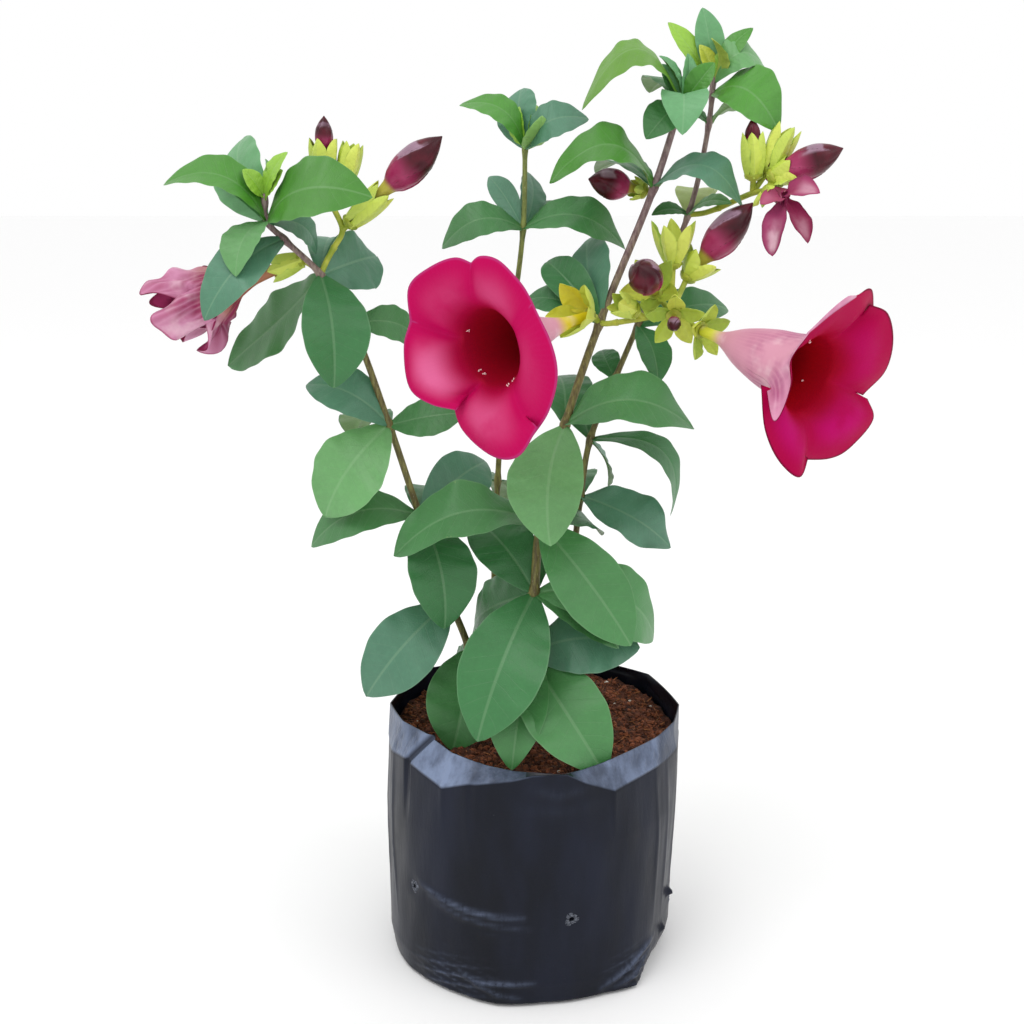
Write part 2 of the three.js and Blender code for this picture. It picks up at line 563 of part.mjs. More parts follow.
// A corolla: a narrow tube that opens into a bell and five lobes
function corolla({ base, mouth, turn, overlap, ...shape }) {
  const { profile, throat, notch, cut, pinch, droop, steps } = shape;
  const { frame, length, start } = flowerSeat(base, mouth);
  const [throatPart, throatRadius] = profile[throat];
  const upper = [];
  const lower = [];
  profile.forEach(([part, radius], row) => {
    const before = profile[Math.max(row - 1, 0)];
    const after = profile[Math.min(row + 1, profile.length - 1)];
    const slope = new THREE.Vector2((after[0] - before[0]) * length, after[1] - before[1]);
    slope.normalize();
    const sag = droop * (row / (profile.length - 1)) ** 2;
    const rings = [PETAL_THICK / 2, -PETAL_THICK / 2].map((offset) =>
      Array.from({ length: steps }, (_, step) => {
        const angle = (360 * step) / steps;
        const shut = Math.max(Math.cos(radians(angle - overlap)), 0) ** 5;
        const valley = (1 - shut) * Math.abs(Math.sin(radians(2.5 * (angle - turn)))) ** pinch;
        const beyond = Math.max(radius - throatRadius, 0) * notch * valley;
        const back = Math.max(part - throatPart, 0) * cut * valley;
        return start.clone()
          .addScaledVector(frame.out, (part - back) * length - offset * slope.y)
          .addScaledVector(outward(frame, angle), radius - beyond + offset * slope.x)
          .addScaledVector(up, -sag);
      }));
    upper.push(rings[0]);
    lower.push(rings[1]);
  });
  return plate(upper, lower, true);
}

// A closed bud: a spindle of five rolled petals, which twist towards its point
const BUD_SECTIONS = [[0, 0.3], [0.3, 0.42], [0.5, 0.94], [0.72, 0.86], [1, 0.06]];
const BUD_TWIST = 80;
const BUD_RIDGE = 0.1;

function bud({ base, tip, wide }) {
  const { frame, length, start } = flowerSeat(base, tip);
  return loft(BUD_SECTIONS.map(([part, swell]) =>
    Array.from({ length: 10 }, (_, side) => {
      const ridge = side % 2 === 0 ? 1 + BUD_RIDGE : 1 - BUD_RIDGE;
      return start.clone()
        .addScaledVector(frame.out, part * length)
        .addScaledVector(outward(frame, 36 * side + BUD_TWIST * part), 0.5 * wide * swell * ridge);
    })));
}

// Outer section of the bag at one angle, from the foot to the top edge
function bagSection(angle) {
  const [foldRadius, foldHeight, edgeRadius, edgeHeight] =
    [1, 2, 3, 4].map((column) => readRows(BAG_TOP, angle, column));
  const levels = FOOT_LEVELS.map((z, level) => [readRows(BAG_FOOT, angle, level + 1), z]);
  const bottom = [levels[0][0] - FOOT_BEVEL, 0];
  return [bottom, ...levels, [foldRadius, foldHeight], [edgeRadius, edgeHeight]];
}

// The same section moved inwards by a wall thickness
function insetSection(section, inset) {
  return section.map(([radius, z], index) => {
    const [r0, z0] = section[Math.max(index - 1, 0)];
    const [r1, z1] = section[Math.min(index + 1, section.length - 1)];
    const length = Math.hypot(r1 - r0, z1 - z0);
    const lift = index === 0 ? inset : (inset * (r1 - r0)) / length;
    return [radius - (inset * (z1 - z0)) / length, z + lift];
  });
}

const bagAngles = Array.from({ length: BAG_SIDES }, (_, side) => (360 * side) / BAG_SIDES);

const onCircle = (angle, radius, z) =>
  vec([radius * Math.cos(radians(angle)), radius * Math.sin(radians(angle)), z]);

// Rings of points from one section at each angle
function sectionRings(sectionAt) {
  const sections = bagAngles.map(sectionAt);
  return sections[0].map((_, level) =>
    sections.map((section, side) => onCircle(bagAngles[side], ...section[level])));
}

// A short round plug through the bag's wall
function wallPlug(angle, z, radius, inner, outer) {
  const rings = [inner, outer].map((distance) =>
    Array.from({ length: 6 }, (_, side) => {
      const turn = (2 * Math.PI * side) / 6;
      const across = radius * Math.cos(turn);
      const centre = onCircle(angle, distance, z + radius * Math.sin(turn));
      return centre.add(onCircle(angle + 90, across, 0));
    }));
  return loft(rings);
}

function growBag() {
  const outside = sectionRings(bagSection);
  const inside = sectionRings((angle) => insetSection(bagSection(angle), BAG_WALL));
  let bag = loft([...outside, ...inside.reverse()]);
  for (const [angle, z] of DRAIN_HOLES) {
    bag = bag.subtract(wallPlug(angle, z, HOLE_RADIUS, 76, 86));
  }
  return bag;
}

const mixHeight = (x, y) => MIX_HEIGHT + (MIX_RISE_TO_BACK * y) / 80
  + MIX_LUMP * (Math.sin(0.31 * x + 0.17 * y) + Math.sin(0.23 * x - 0.37 * y));

// The filling: it follows the inside of the bag, and its lumpy top rises towards the back
function pottingMix() {
  const inside = (angle) => {
    const [bottom, foot, ...higher] = bagSection(angle);
    const narrow = [[MIX_FOOT - FOOT_BEVEL, bottom[1]], [MIX_FOOT, foot[1]], ...higher];
    return insetSection(narrow, BAG_WALL + MIX_GAP);
  };
  const rings = sectionRings(inside).slice(0, FOOT_LEVELS.length + 1);
  const edge = bagAngles.map((angle) => {
    const [radius, z] = inside(angle).at(-2);
    const outer = onCircle(angle, radius - 1, 0);
    outer.z = Math.min(z - 1.5, mixHeight(outer.x, outer.y));
    return outer;
  });
  rings.push(edge);
  for (const radius of [62, 36, 10]) {
    rings.push(bagAngles.map((angle) => {
      const point = onCircle(angle, radius, 0);
      point.z = mixHeight(point.x, point.y);
      return point;
    }));
  }
  const holes = Object.values(STEMS).map((stem) => stemRod(stem, FIT_GAP));
  return wasm.Manifold.difference([loft(rings), ...holes]);
}

// Turns a solid into a named mesh with the colour and finish of its piece
function piece(name, solid, color, roughness) {
  const { vertProperties, triVerts } = solid.getMesh();
  const geometry = new THREE.BufferGeometry();
  geometry.setAttribute("position", new THREE.BufferAttribute(vertProperties, 3));
  geometry.setIndex(new THREE.BufferAttribute(triVerts, 1));
  const material = new THREE.MeshStandardMaterial({ color, roughness, metalness: 0 });
  const mesh = new THREE.Mesh(geometry, material);
  mesh.name = name;
  return mesh;
}

const plant = new THREE.Group();
plant.add(piece("grow_bag", growBag(), "#2c2f3a", 0.4));
plant.add(piece("potting_mix", pottingMix(), "#5e3726", 0.95));
for (const [name, stem] of Object.entries(STEMS)) {
  plant.add(piece(`leafy_stem_${name}`, leafyStem(stem), LEAF_COLOUR, 0.5));
}

for (const [name, cluster] of Object.entries(CALYX_CLUSTERS)) {
  plant.add(piece(name, calyxCluster(cluster), YOUNG_COLOUR, 0.5));
}
for (const [name, flower] of Object.entries(COROLLAS)) {
  plant.add(piece(name, corolla(flower), BLOOM_COLOUR, 0.6));
}
for (const [name, shape] of Object.entries(BUDS)) {
  plant.add(piece(name, bud(shape), BUD_COLOUR, 0.45));
}

export default plant;
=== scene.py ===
import math
from functools import partialmethod

import bmesh
import bpy
import numpy as np
from mathutils import Matrix, Vector


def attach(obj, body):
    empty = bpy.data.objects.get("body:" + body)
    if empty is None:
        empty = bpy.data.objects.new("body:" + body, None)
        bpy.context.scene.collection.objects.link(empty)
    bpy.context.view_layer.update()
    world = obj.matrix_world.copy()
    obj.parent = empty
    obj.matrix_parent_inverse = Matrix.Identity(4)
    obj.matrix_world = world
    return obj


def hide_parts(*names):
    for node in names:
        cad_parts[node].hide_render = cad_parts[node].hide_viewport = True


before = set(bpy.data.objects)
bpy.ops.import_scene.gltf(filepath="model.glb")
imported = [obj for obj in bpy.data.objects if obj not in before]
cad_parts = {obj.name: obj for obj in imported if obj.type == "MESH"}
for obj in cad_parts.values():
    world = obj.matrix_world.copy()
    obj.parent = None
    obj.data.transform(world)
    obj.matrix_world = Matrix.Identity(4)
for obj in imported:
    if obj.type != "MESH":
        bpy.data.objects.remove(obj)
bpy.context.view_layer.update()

# Camera
# It looks at the plant from in front and a little from above, so that the mouth of the bag shows
# as a flat ellipse and the upper leaves are seen from the side.
CAMERA_PLACE = (-.012, -.81, .455)
CAMERA_PITCH = math.radians(14.2)
CAMERA_LENS = 54.2


def add_object(name, data):
    """An object in the scene."""
    made = bpy.data.objects.new(name, data)
    bpy.context.scene.collection.objects.link(made)
    return made


lens = bpy.data.cameras.new("front_view")
lens.lens = CAMERA_LENS
lens.sensor_width = 36
camera = add_object("front_view", lens)
camera.location = CAMERA_PLACE
camera.rotation_euler = (math.pi / 2 - CAMERA_PITCH, 0, 0)
bpy.context.scene.camera = camera

# Floor and light
# A plain white studio floor under a bright even sky, with one broad soft lamp from the upper left
# and a weaker one from the right, so that shadows stay faint.
HALF_FLOOR = 7
SKY_COLOUR = (1, 1, 1, 1)
SKY_STRENGTH = 1.0
LAMP_AIM = (0, 0, .3)
# Place, size and power of each lamp
LAMPS = {
    "broad_lamp": ((-.6, -.7, 1.9), 1.0, 9),
    "side_lamp": ((1.2, -.7, 1.2), .9, 3),
}


def colour(code):
    """The linear colour, with alpha, of a six-digit colour code."""
    parts = [int(code[start:start + 2], 16) / 255 for start in (0, 2, 4)]
    return (*(part / 12.92 if part <= .04045 else ((part + .055) / 1.055) ** 2.4 for part in parts), 1)


def new_piece(name, points, faces):
    """A smooth-shaded mesh object from points in metres and the faces between them."""
    mesh = bpy.data.meshes.new(name)
    mesh.from_pydata(np.asarray(points, float).tolist(), [], [list(map(int, face)) for face in faces])
    mesh.shade_smooth()
    return add_object(name, mesh)


def new_material(name, roughness, specular=.5):
    """A material with its node tree and shader."""
    material = bpy.data.materials.new(name)
    material.use_nodes = True
    shader = material.node_tree.nodes["Principled BSDF"]
    shader.inputs["Roughness"].default_value = roughness
    shader.inputs["Specular IOR Level"].default_value = specular
    return material, material.node_tree, shader


floor_corners = [(x * HALF_FLOOR, y * HALF_FLOOR, 0) for x, y in ((-1, -1), (1, -1), (1, 1), (-1, 1))]
floor = new_piece("floor", floor_corners, [(0, 1, 2, 3)])
floor_paint, _, floor_shader = new_material("white_sweep", .9)
floor_shader.inputs["Base Color"].default_value = colour("fcfcfc")
floor.data.materials.append(floor_paint)

sky = bpy.data.worlds.new("even_sky")
sky.use_nodes = True
sky_light = sky.node_tree.nodes["Background"]
sky_light.inputs["Color"].default_value = SKY_COLOUR
sky_light.inputs["Strength"].default_value = SKY_STRENGTH
bpy.context.scene.world = sky
bpy.context.scene.view_settings.view_transform = "Standard"

for lamp_name, (place, size, power) in LAMPS.items():
    lamp = bpy.data.lights.new(lamp_name, "AREA")
    lamp.size = size
    lamp.energy = power
    holder = add_object(lamp_name, lamp)
    holder.location = place
    aim = np.array(LAMP_AIM) - np.array(place)
    pitch = math.atan2(math.hypot(aim[0], aim[1]), -aim[2])
    holder.rotation_euler = (pitch, 0, math.atan2(aim[1], aim[0]) - math.pi / 2)

# Grow bag
# A nursery bag of thin black polythene film. The mix fills it to a drum, its flat bottom is tucked
# in at the corners, and its upper edge is folded inwards in stiff facets. Six holes drain it.
FILM = .0005
BAG_COLUMNS = 480
BAG_RADIUS = .0815
FACET_FLATNESS = .7
INNER_DEPTH = .095
BAND_BOW = .0007
# How proud a crease stands where its painted highlight is full
FULL_HIGHLIGHT_PROUD = .0016

# At each corner of the upper fold: angle, radius and height of the fold, and of the film's edge
# above it, then the painted sheen on the film between them: the band is painted paler as if it
# reflected the sky, brightest at some corners, and dark in the narrow fold that lies in shade
BAG_TOP = np.array([
    (0, .0815, .124, 0, .0815, .139, .3), (34, .082, .134, 34, .0825, .14, .3),
    (47, .082, .134, 47, .082, .139, .3), (62, .0825, .134, 62, .0825, .139, .4),
    (90, .082, .134, 90, .082, .139, .4), (118, .0825, .134, 118, .0825, .139, .4),
    (134, .082, .134, 134, .082, .14, .4), (146, .0815, .136, 146, .081, .144, .4),
    (163, .0815, .128, 163, .077, .141, .6), (180, .0815, .121, 182, .08, .141, .7),
    (196, .0812, .1215, 201, .0765, .1402, .8), (210.5, .0805, .1247, 217.5, .0718, .1392, 1),
    (211.5, .0788, .1244, 219.5, .0698, .1388, .12), (213.5, .079, .1238, 221.5, .0702, .1382, .16),
    (214.5, .0805, .1235, 222.5, .072, .138, .92), (231.5, .081, .1188, 232.5, .073, .1352, .95),
    (233, .0816, .1182, 234, .0735, .135, 1.25), (234.5, .0812, .1187, 235.5, .073, .1347, .95),
    (244, .0813, .1237, 245, .0722, .1324, .85), (245.5, .0806, .124, 246.5, .0714, .132, .5),
    (248, .0812, .1246, 249, .072, .1316, .8), (262, .0806, .1285, 262, .073, .1303, .6),
    (269, .08, .131, 269, .073, .13, .2), (276, .08, .1312, 276, .0733, .1292, 0),
    (282, .08, .131, 282, .0735, .1286, .15), (289, .0797, .1255, 289, .0732, .1297, .7),
    (300, .079, .1187, 300, .0727, .1315, .95), (301.5, .0797, .118, 301.5, .0727, .132, 1.2),
    (303, .0792, .1184, 303, .0727, .1321, .92), (328, .0788, .1209, 328, .0758, .1352, .85),
    (331, .0792, .1211, 331, .0765, .1355, .45), (345, .081, .122, 345, .0795, .137, .35),
    (360, .0815, .124, 360, .0815, .139, .3),
])

# Radius at the foot: angle, then the radius at each of these heights
FOOT_HEIGHTS = (.002, .013, .09)
FOOT_BEVEL = .003
BAG_FOOT = np.array([
    (0, .075, .078, .08), (30, .076, .079, .0805), (60, .0785, .08, .0815), (90, .0765, .08, .0815),
    (120, .0785, .08, .0815), (150, .0775, .0805, .0815), (180, .0795, .082, .082),
    (215, .0815, .0825, .082), (240, .082, .0825, .0815), (256, .084, .083, .0815),
    (272, .0805, .082, .0815), (298, .0805, .0815, .081), (311, .084, .0815, .0805), (322, .0765, .08, .08),
    (333, .0725, .078, .08), (360, .075, .078, .08),
])

# Slack in the film: how far out, then waves to the turn and to the height, and their shift
SLACK = [(.00022, 3, 22, 0), (.00022, 7, -41, 1.3), (.00007, 19, 60, .7), (.00007, 31, -95, 0)]
# Creases pressed into the film: points by angle and height, how proud it stands, how broad it is
CREASES = [
    ([(222, .058), (233, .0545), (245, .0517), (255, .051), (266, .0512)], .0017, .0016),
    ([(227, .053), (240, .0482), (252, .0458), (268, .0448)], .0012, .0014),
    ([(246, .0415), (262, .0395)], .0006, .0014),
    ([(241, .015), (248.5, .0115), (257, .0128), (270, .0136)], .0016, .0014),
    ([(248, .0105), (257, .0062), (265, .0045)], .0013, .0014),
    ([(296, .005), (306, .012), (318, .019), (326, .021)], .0018, .0018),
    ([(302, .004), (313, .009), (322, .0145)], .0014, .0014),
    ([(268, .123), (279, .1195), (291, .122)], .0008, .0035),
    ([(262, .112), (279, .1105), (296, .113)], .0006, .004),
    ([(189, .118), (188, .08), (190, .03)], .0008, .002),
    ([(199, .122), (198.5, .07), (203, .03)], .0009, .0016),
    ([(326, .12), (327, .08), (325, .03)], .0006, .0018),
    ([(335, .12), (336, .08), (334, .03)], .0006, .002),
    ([(348, .121), (347, .07), (345, .025)], .0008, .002), ([(244.8, .12), (244.6, .081)], .0004, .003),
    ([(60, .055), (85, .049), (118, .052)], .0013, .0018),
    ([(100, .034), (128, .03), (152, .036)], .001, .0016),
    ([(20, .02), (38, .03), (58, .028)], .0012, .002), ([(66, .1), (88, .106), (112, .101)], .0008, .0025),
]
TUCK_HEIGHT = .009
# Where the bottom corners are tucked in: angle, how far round it reaches, how deep the wrinkles are
TUCKS = [(236, 13, .001), (313, 10, .0013), (48, 12, .001), (132, 14, .001)]
# The wrinkles in a tuck: depth, waves up and round, shift and sharpness
WRINKLES = [(1, 560, -95, 0, 3), (.6, 760, 170, 1, 4)]
# Little folded nubs at the right edge: angle, height, how far they stand out, their radius
NUBS = [(342, .037, .0042, .002), (336, .0188, .0026, .0024)]
DRAIN_HOLES = [(218.1, .0541), (283.7, .0498), (352, .025), (35, .05), (92, .052), (150, .048)]
HOLE_RADIUS = .0014
HOLE_DEPTH = .003
HOLE_SIDES = 14
HOLE_DIMPLE = (-.0007, .0045)
LIP_WIDTH = .0022
LIP_FILM = .0003
LIP_RINGS = 7
LIP_SIDES = 28


def press_crease(angles, heights, corners, proud, broad):
    """How far a crease lifts the film at each angle and height. It fades out at both ends."""
    line = np.array([(math.radians(angle) * BAG_RADIUS, height) for angle, height in corners])
    place = np.stack([np.radians(angles) * BAG_RADIUS, heights + 0 * angles], axis=-1)
    lengths = np.r_[0, np.cumsum(np.linalg.norm(np.diff(line, axis=0), axis=1))]
    nearest = np.full(angles.shape, 1.0)
    along = np.zeros(angles.shape)
    for start, end, before in zip(line, line[1:], lengths):
        step = end - start
        part = np.clip(((place - start) @ step) / (step @ step), 0, 1)
        away = np.linalg.norm(place - start - part[..., None] * step, axis=-1)
        closer = away < nearest
        nearest = np.where(closer, away, nearest)
        along = np.where(closer, (before + part * np.linalg.norm(step)) / lengths[-1], along)
    return proud * np.sin(np.pi * np.clip(along, .04, .96)) ** .6 * np.exp(-((nearest / broad) ** 1.4))


def bell_curve(away, reach):
    """1 in the middle, and next to nothing past twice the reach."""
    return np.exp(-((away / reach) ** 2))


def tuck_folds(angles, heights):
    """Sharp slanting wrinkles, as shares of their depth."""
    run = np.radians(angles) * BAG_RADIUS
    return sum(deep * (1 - np.abs(np.sin(up * heights + around * run + shift))) ** sharp
               for deep, up, around, shift, sharp in WRINKLES)


def film_lift(angles, heights):
    """How far the film stands off the plain drum: slack, creases, tucked wrinkles, nubs and holes."""
    lift = sum(far * np.sin(around * np.radians(angles) + up * heights + shift)
               for far, around, up, shift in SLACK)
    for corners, proud, broad in CREASES:
        lift = lift + press_crease(angles, heights, corners, proud, broad)
    folds = tuck_folds(angles, heights)
    for angle, reach, deep in TUCKS:
        near = bell_curve(angles - angle, reach) * bell_curve(heights - TUCK_HEIGHT, .008)
        lift = lift + deep * near * folds
    for angle, height, proud, broad in NUBS + [hole + HOLE_DIMPLE for hole in DRAIN_HOLES]:
        away = np.hypot(np.radians(angles - angle) * BAG_RADIUS, heights - height)
        lift = lift + proud * bell_curve(away, broad)
    return lift


def crease_highlights(angles, heights):
    """The painted highlight along the upper side of each crease and on the tucked wrinkles, from 0 to 1."""
    paling = np.zeros(angles.shape)
    for corners, proud, broad in CREASES:
        raised = [(angle, height + .0007) for angle, height in corners]
        share = min(1, proud / FULL_HIGHLIGHT_PROUD) ** 3
        paling = np.maximum(paling, press_crease(angles, heights, raised, share, broad * .7))
    for angle, reach, deep in TUCKS:
        near = bell_curve(angles - angle, reach) * bell_curve(heights - TUCK_HEIGHT - .002, .009)
        paling = np.maximum(paling, near * tuck_folds(angles, heights + .0004))
    return paling


def fold_radius(angles, corner_angles, corner_radii):
    """Radius of the film's folds: nearly straight from corner to corner."""
    turn = np.radians(corner_angles)
    corners = np.stack([corner_radii * np.cos(turn), corner_radii * np.sin(turn)], axis=1)
    first = np.clip(np.searchsorted(corner_angles, angles, side="right") - 1, 0, len(corners) - 2)
    start, step = corners[first], corners[first + 1] - corners[first]
    looking = np.stack([np.cos(np.radians(angles)), np.sin(np.radians(angles))], axis=1)
    straight = (start[:, 0] * step[:, 1] - start[:, 1] * step[:, 0]) / (
        looking[:, 0] * step[:, 1] - looking[:, 1] * step[:, 0])
    return FACET_FLATNESS * straight + (1 - FACET_FLATNESS) * np.interp(angles, corner_angles, corner_radii)


def film_radius(angles, heights):
    """Radius of the bag's outer face, from the foot past the fold to the film's edge."""
    fold, edge = (np.interp(angles, BAG_TOP[:, 0], BAG_TOP[:, column]) for column in (2, 5))
    levels = [*FOOT_HEIGHTS, fold, np.maximum(edge, fold + .0005)]
    radii = [np.interp(angles, BAG_FOOT[:, 0], BAG_FOOT[:, column]) for column in (1, 2, 3)]
    radii += [fold_radius(angles, BAG_TOP[:, column], BAG_TOP[:, column + 1]) for column in (0, 3)]
    radius = radii[0]
    for low, high, near, far in zip(levels, levels[1:], radii, radii[1:]):
        radius = radius + np.clip((heights - low) / (high - low), 0, 1) * (far - near)
    return radius


def polar(angles, radius, heights):
    """Points from angles in degrees, radii and heights."""
    turn = np.radians(angles)
    return np.stack([radius * np.cos(turn), radius * np.sin(turn), heights + 0 * turn], axis=-1)


def ring_faces(rows, columns):
    """Quads between rings of points, for rings that close on themselves."""
    return [(row * columns + column, row * columns + (column + 1) % columns,
             (row + 1) * columns + (column + 1) % columns, (row + 1) * columns + column)
            for row in range(rows - 1) for column in range(columns)]


def drum_faces(rows, columns):
    """The same, with both ends closed."""
    last = range((rows - 1) * columns, rows * columns)
    return ring_faces(rows, columns) + [tuple(range(columns))[::-1], tuple(last)]


def plain_mesh(piece):
    """The mesh that a piece's modifiers make, on its own."""
    bpy.context.view_layer.update()
    return bpy.data.meshes.new_from_object(piece.evaluated_get(bpy.context.evaluated_depsgraph_get()))


bag_angles = np.arange(BAG_COLUMNS) * 360 / BAG_COLUMNS
fold_height, edge_angle, edge_height, paleness = (
    np.interp(bag_angles, BAG_TOP[:, 0], BAG_TOP[:, column]) for column in (2, 3, 5, 6))
edge_radius = fold_radius(edge_angle, BAG_TOP[:, 3], BAG_TOP[:, 4])
BODY_PARTS = np.r_[np.linspace(0, .2, 24), np.linspace(.21, .98, 52), .993]
BAND_PARTS = np.r_[.03, np.linspace(.1, 1, 14)]


def bag_wall(inset):
    """Rings of the film from the foot to its upper edge, moved inwards by the inset."""
    rings = []
    for part in BODY_PARTS:
        height = FOOT_HEIGHTS[0] + part * (fold_height - FOOT_HEIGHTS[0])
        radius = film_radius(bag_angles, height) + film_lift(bag_angles, height)
        rings.append(polar(bag_angles, radius - inset, height))
    crease_radius = film_radius(bag_angles, fold_height)
    for part in BAND_PARTS:
        angle = bag_angles + part * (edge_angle - bag_angles)
        bow = BAND_BOW * math.sin(math.pi * part) * np.sin(np.radians(bag_angles * 9))
        radius = crease_radius + part * (edge_radius - crease_radius) + bow - inset
        rings.append(polar(angle, radius, fold_height + part * (edge_height - fold_height)))
    return rings


foot_radius = film_radius(bag_angles, FOOT_HEIGHTS[0] + 0 * bag_angles) - FOOT_BEVEL
foot_rings = [polar(bag_angles, part * foot_radius, 0) for part in (.02, .4, .8, .95, 1)]
inner_rings = [ring for ring in bag_wall(FILM)[::-1] if ring[:, 2].min() > INNER_DEPTH]
bag_rings = foot_rings + bag_wall(0) + inner_rings + [inner_rings[-1] * (.02, .02, 1)]
bag_points = np.concatenate(bag_rings)
grow_bag = new_piece("polythene_bag", bag_points, drum_faces(len(bag_rings), BAG_COLUMNS))


def mark_points(piece, values):
    """Puts named values on the points of a mesh: single numbers, vectors or colours."""
    kinds = {1: ("FLOAT", "value"), 3: ("FLOAT_VECTOR", "vector"), 4: ("FLOAT_COLOR", "color")}
    for name, rows in values.items():
        rows = np.array(rows, np.float32)
        kind, field = kinds[1 if rows.ndim == 1 else rows.shape[1]]
        piece.data.attributes.new(name, kind, "POINT").data.foreach_set(field, rows.ravel())


outer_rows = len(foot_rings) + len(BODY_PARTS)
band_sheen_marks = np.zeros((len(bag_rings), BAG_COLUMNS))
band_sheen_marks[outer_rows:outer_rows + len(BAND_PARTS)] = paleness
points_turn = np.degrees(np.arctan2(bag_points[:, 1], bag_points[:, 0])) % 360
mark_points(grow_bag, {"band_sheen": band_sheen_marks.ravel(), "crease_highlight": crease_highlights(points_turn, bag_points[:, 2])})

# The punched holes go in with a drill of six prisms, and each gets a torn lip
drill_points, drill_faces, lip_points, lip_faces = [], [], [], []
for hole, (angle, height) in enumerate(DRAIN_HOLES):
    sides = np.arange(HOLE_SIDES) * 2 * math.pi / HOLE_SIDES
    rough = HOLE_RADIUS * (1 + .14 * np.sin(2 * sides + hole) + .08 * np.sin(5 * sides - hole))
    start = len(drill_points) * HOLE_SIDES
    for radius in (BAG_RADIUS - HOLE_DEPTH, BAG_RADIUS + HOLE_DEPTH):
        drill_points.append(polar(angle + np.degrees(rough * np.cos(sides) / BAG_RADIUS), radius,
                                  height + rough * np.sin(sides)))
    drill_faces += [[start + corner for corner in face] for face in drum_faces(2, HOLE_SIDES)]
    around = np.arange(LIP_SIDES) * 2 * math.pi / LIP_SIDES
    start = len(lip_points) * LIP_SIDES
    for ring in range(LIP_RINGS):
        out = ring / (LIP_RINGS - 1)
        spread = HOLE_RADIUS * (1.02 + .12 * np.sin(2 * around + hole)) + LIP_WIDTH * out * (
            1 + .25 * np.sin(3 * around + 2 * hole))
        lip_angle = angle + np.degrees(spread * np.cos(around) / BAG_RADIUS)
        lip_height = height + spread * np.sin(around)
        rolled = .0006 * math.sin(math.pi * min(1, out * 1.7)) - .0003 * out
        rolled = rolled + .0002 * np.sin(7 * around + 3 * hole) * math.sin(math.pi * out)
        lip_radius = film_radius(lip_angle, lip_height) + film_lift(lip_angle, lip_height) + rolled
        lip_points.append(polar(lip_angle, lip_radius, lip_height))
    lip_faces += [[start + corner for corner in face] for face in ring_faces(LIP_RINGS, LIP_SIDES)]
drill = new_piece("drill", np.concatenate(drill_points), drill_faces)
punching = grow_bag.modifiers.new("drain_holes", "BOOLEAN")
punching.operation = "DIFFERENCE"
punching.solver = "MANIFOLD"
punching.object = drill
punched = plain_mesh(grow_bag)
punched.materials.clear()
grow_bag.modifiers.clear()
grow_bag.data = punched
grow_bag.data.shade_smooth()
bpy.data.objects.remove(drill)
hole_lips = new_piece("drain_hole_lips", np.concatenate(lip_points), lip_faces)
lip_wall = hole_lips.modifiers.new("film_thickness", "SOLIDIFY")
lip_wall.thickness = LIP_FILM
lip_wall.offset = -1


def feed(tree, value, place):
    """Gives a socket a formula's result, a colour by its code or a plain value."""
    if isinstance(value, Formula):
        tree.links.new(value.socket, place)
    else:
        place.default_value = colour(value) if place.type == "RGBA" and isinstance(value, str) else value


def add_node(tree, kind, inputs=(), output=0, **settings):
    """Adds a node with its settings and inputs, and hands on one of its outputs."""
    node = tree.nodes.new(kind)
    for name, value in settings.items():
        setattr(node, name, value)
    for name, value in dict(inputs).items():
        feed(tree, value, node.inputs[name])
    return Formula(tree, node.outputs[output])


class Formula:
    """A value in a node tree. Arithmetic on it adds the nodes that work it out."""

    def __init__(self, tree, socket):
        self.tree = tree
        self.socket = socket
        self.vector = socket.type in ("VECTOR", "RGBA")

    def calculate(self, operation, *others):
        kind = "ShaderNodeVectorMath" if self.vector else "ShaderNodeMath"
        places = (0, 3) if operation == "SCALE" else (0, 1, 2)
        output = 1 if operation in ("LENGTH", "DOT_PRODUCT") else 0
        return add_node(self.tree, kind, zip(places, (self, *others)), output, operation=operation)

    def __mul__(self, other):
        other_vector = isinstance(other, tuple) or (isinstance(other, Formula) and other.vector)
        if self.vector and not other_vector:
            return self.calculate("SCALE", other)
        if other_vector and not self.vector:
            return other.calculate("SCALE", self)
        return self.calculate("MULTIPLY", other)

    def __rsub__(self, other):
        return self * -1 + other

    def rise(self, low, high):
        """0 below low, 1 above high and a smooth step in between."""
        return add_node(self.tree, "ShaderNodeMapRange", {"Value": self, "From Min": low, "From Max": high},
                        interpolation_type="SMOOTHSTEP")

    __rmul__ = __mul__
    __add__ = __radd__ = partialmethod(calculate, "ADD")
    __sub__ = partialmethod(calculate, "SUBTRACT")
    __truediv__ = partialmethod(calculate, "DIVIDE")
    __pow__ = partialmethod(calculate, "POWER")
    sine = partialmethod(calculate, "SINE")
    size = partialmethod(calculate, "ABSOLUTE")
    most = partialmethod(calculate, "MAXIMUM")
    least = partialmethod(calculate, "MINIMUM")
    length = partialmethod(calculate, "LENGTH")
    unit = partialmethod(calculate, "NORMALIZE")
    cross = partialmethod(calculate, "CROSS_PRODUCT")
    natural = partialmethod(calculate, "EXPONENT")


def attribute(tree, name, output="Fac"):
    """A value that the mesh carries."""
    return add_node(tree, "ShaderNodeAttribute", output=output, attribute_name=name)


def noise(tree, scale, detail=3, roughness=.5, stretch=(1, 1, 1)):
    """Cloudy variation from 0 to 1 over a piece, with so many waves to the metre."""
    place = add_node(tree, "ShaderNodeTexCoord", output="Object")
    mapped = add_node(tree, "ShaderNodeMapping", {"Scale": stretch, "Vector": place})
    return add_node(tree, "ShaderNodeTexNoise", {
        "Vector": mapped, "Scale": scale, "Detail": detail, "Roughness": roughness})


def blend(share, first, second):
    """A colour between two colours."""
    tree = next(value.tree for value in (share, first, second) if isinstance(value, Formula))
    return add_node(tree, "ShaderNodeMix", {0: share, 6: first, 7: second}, 2, data_type="RGBA")


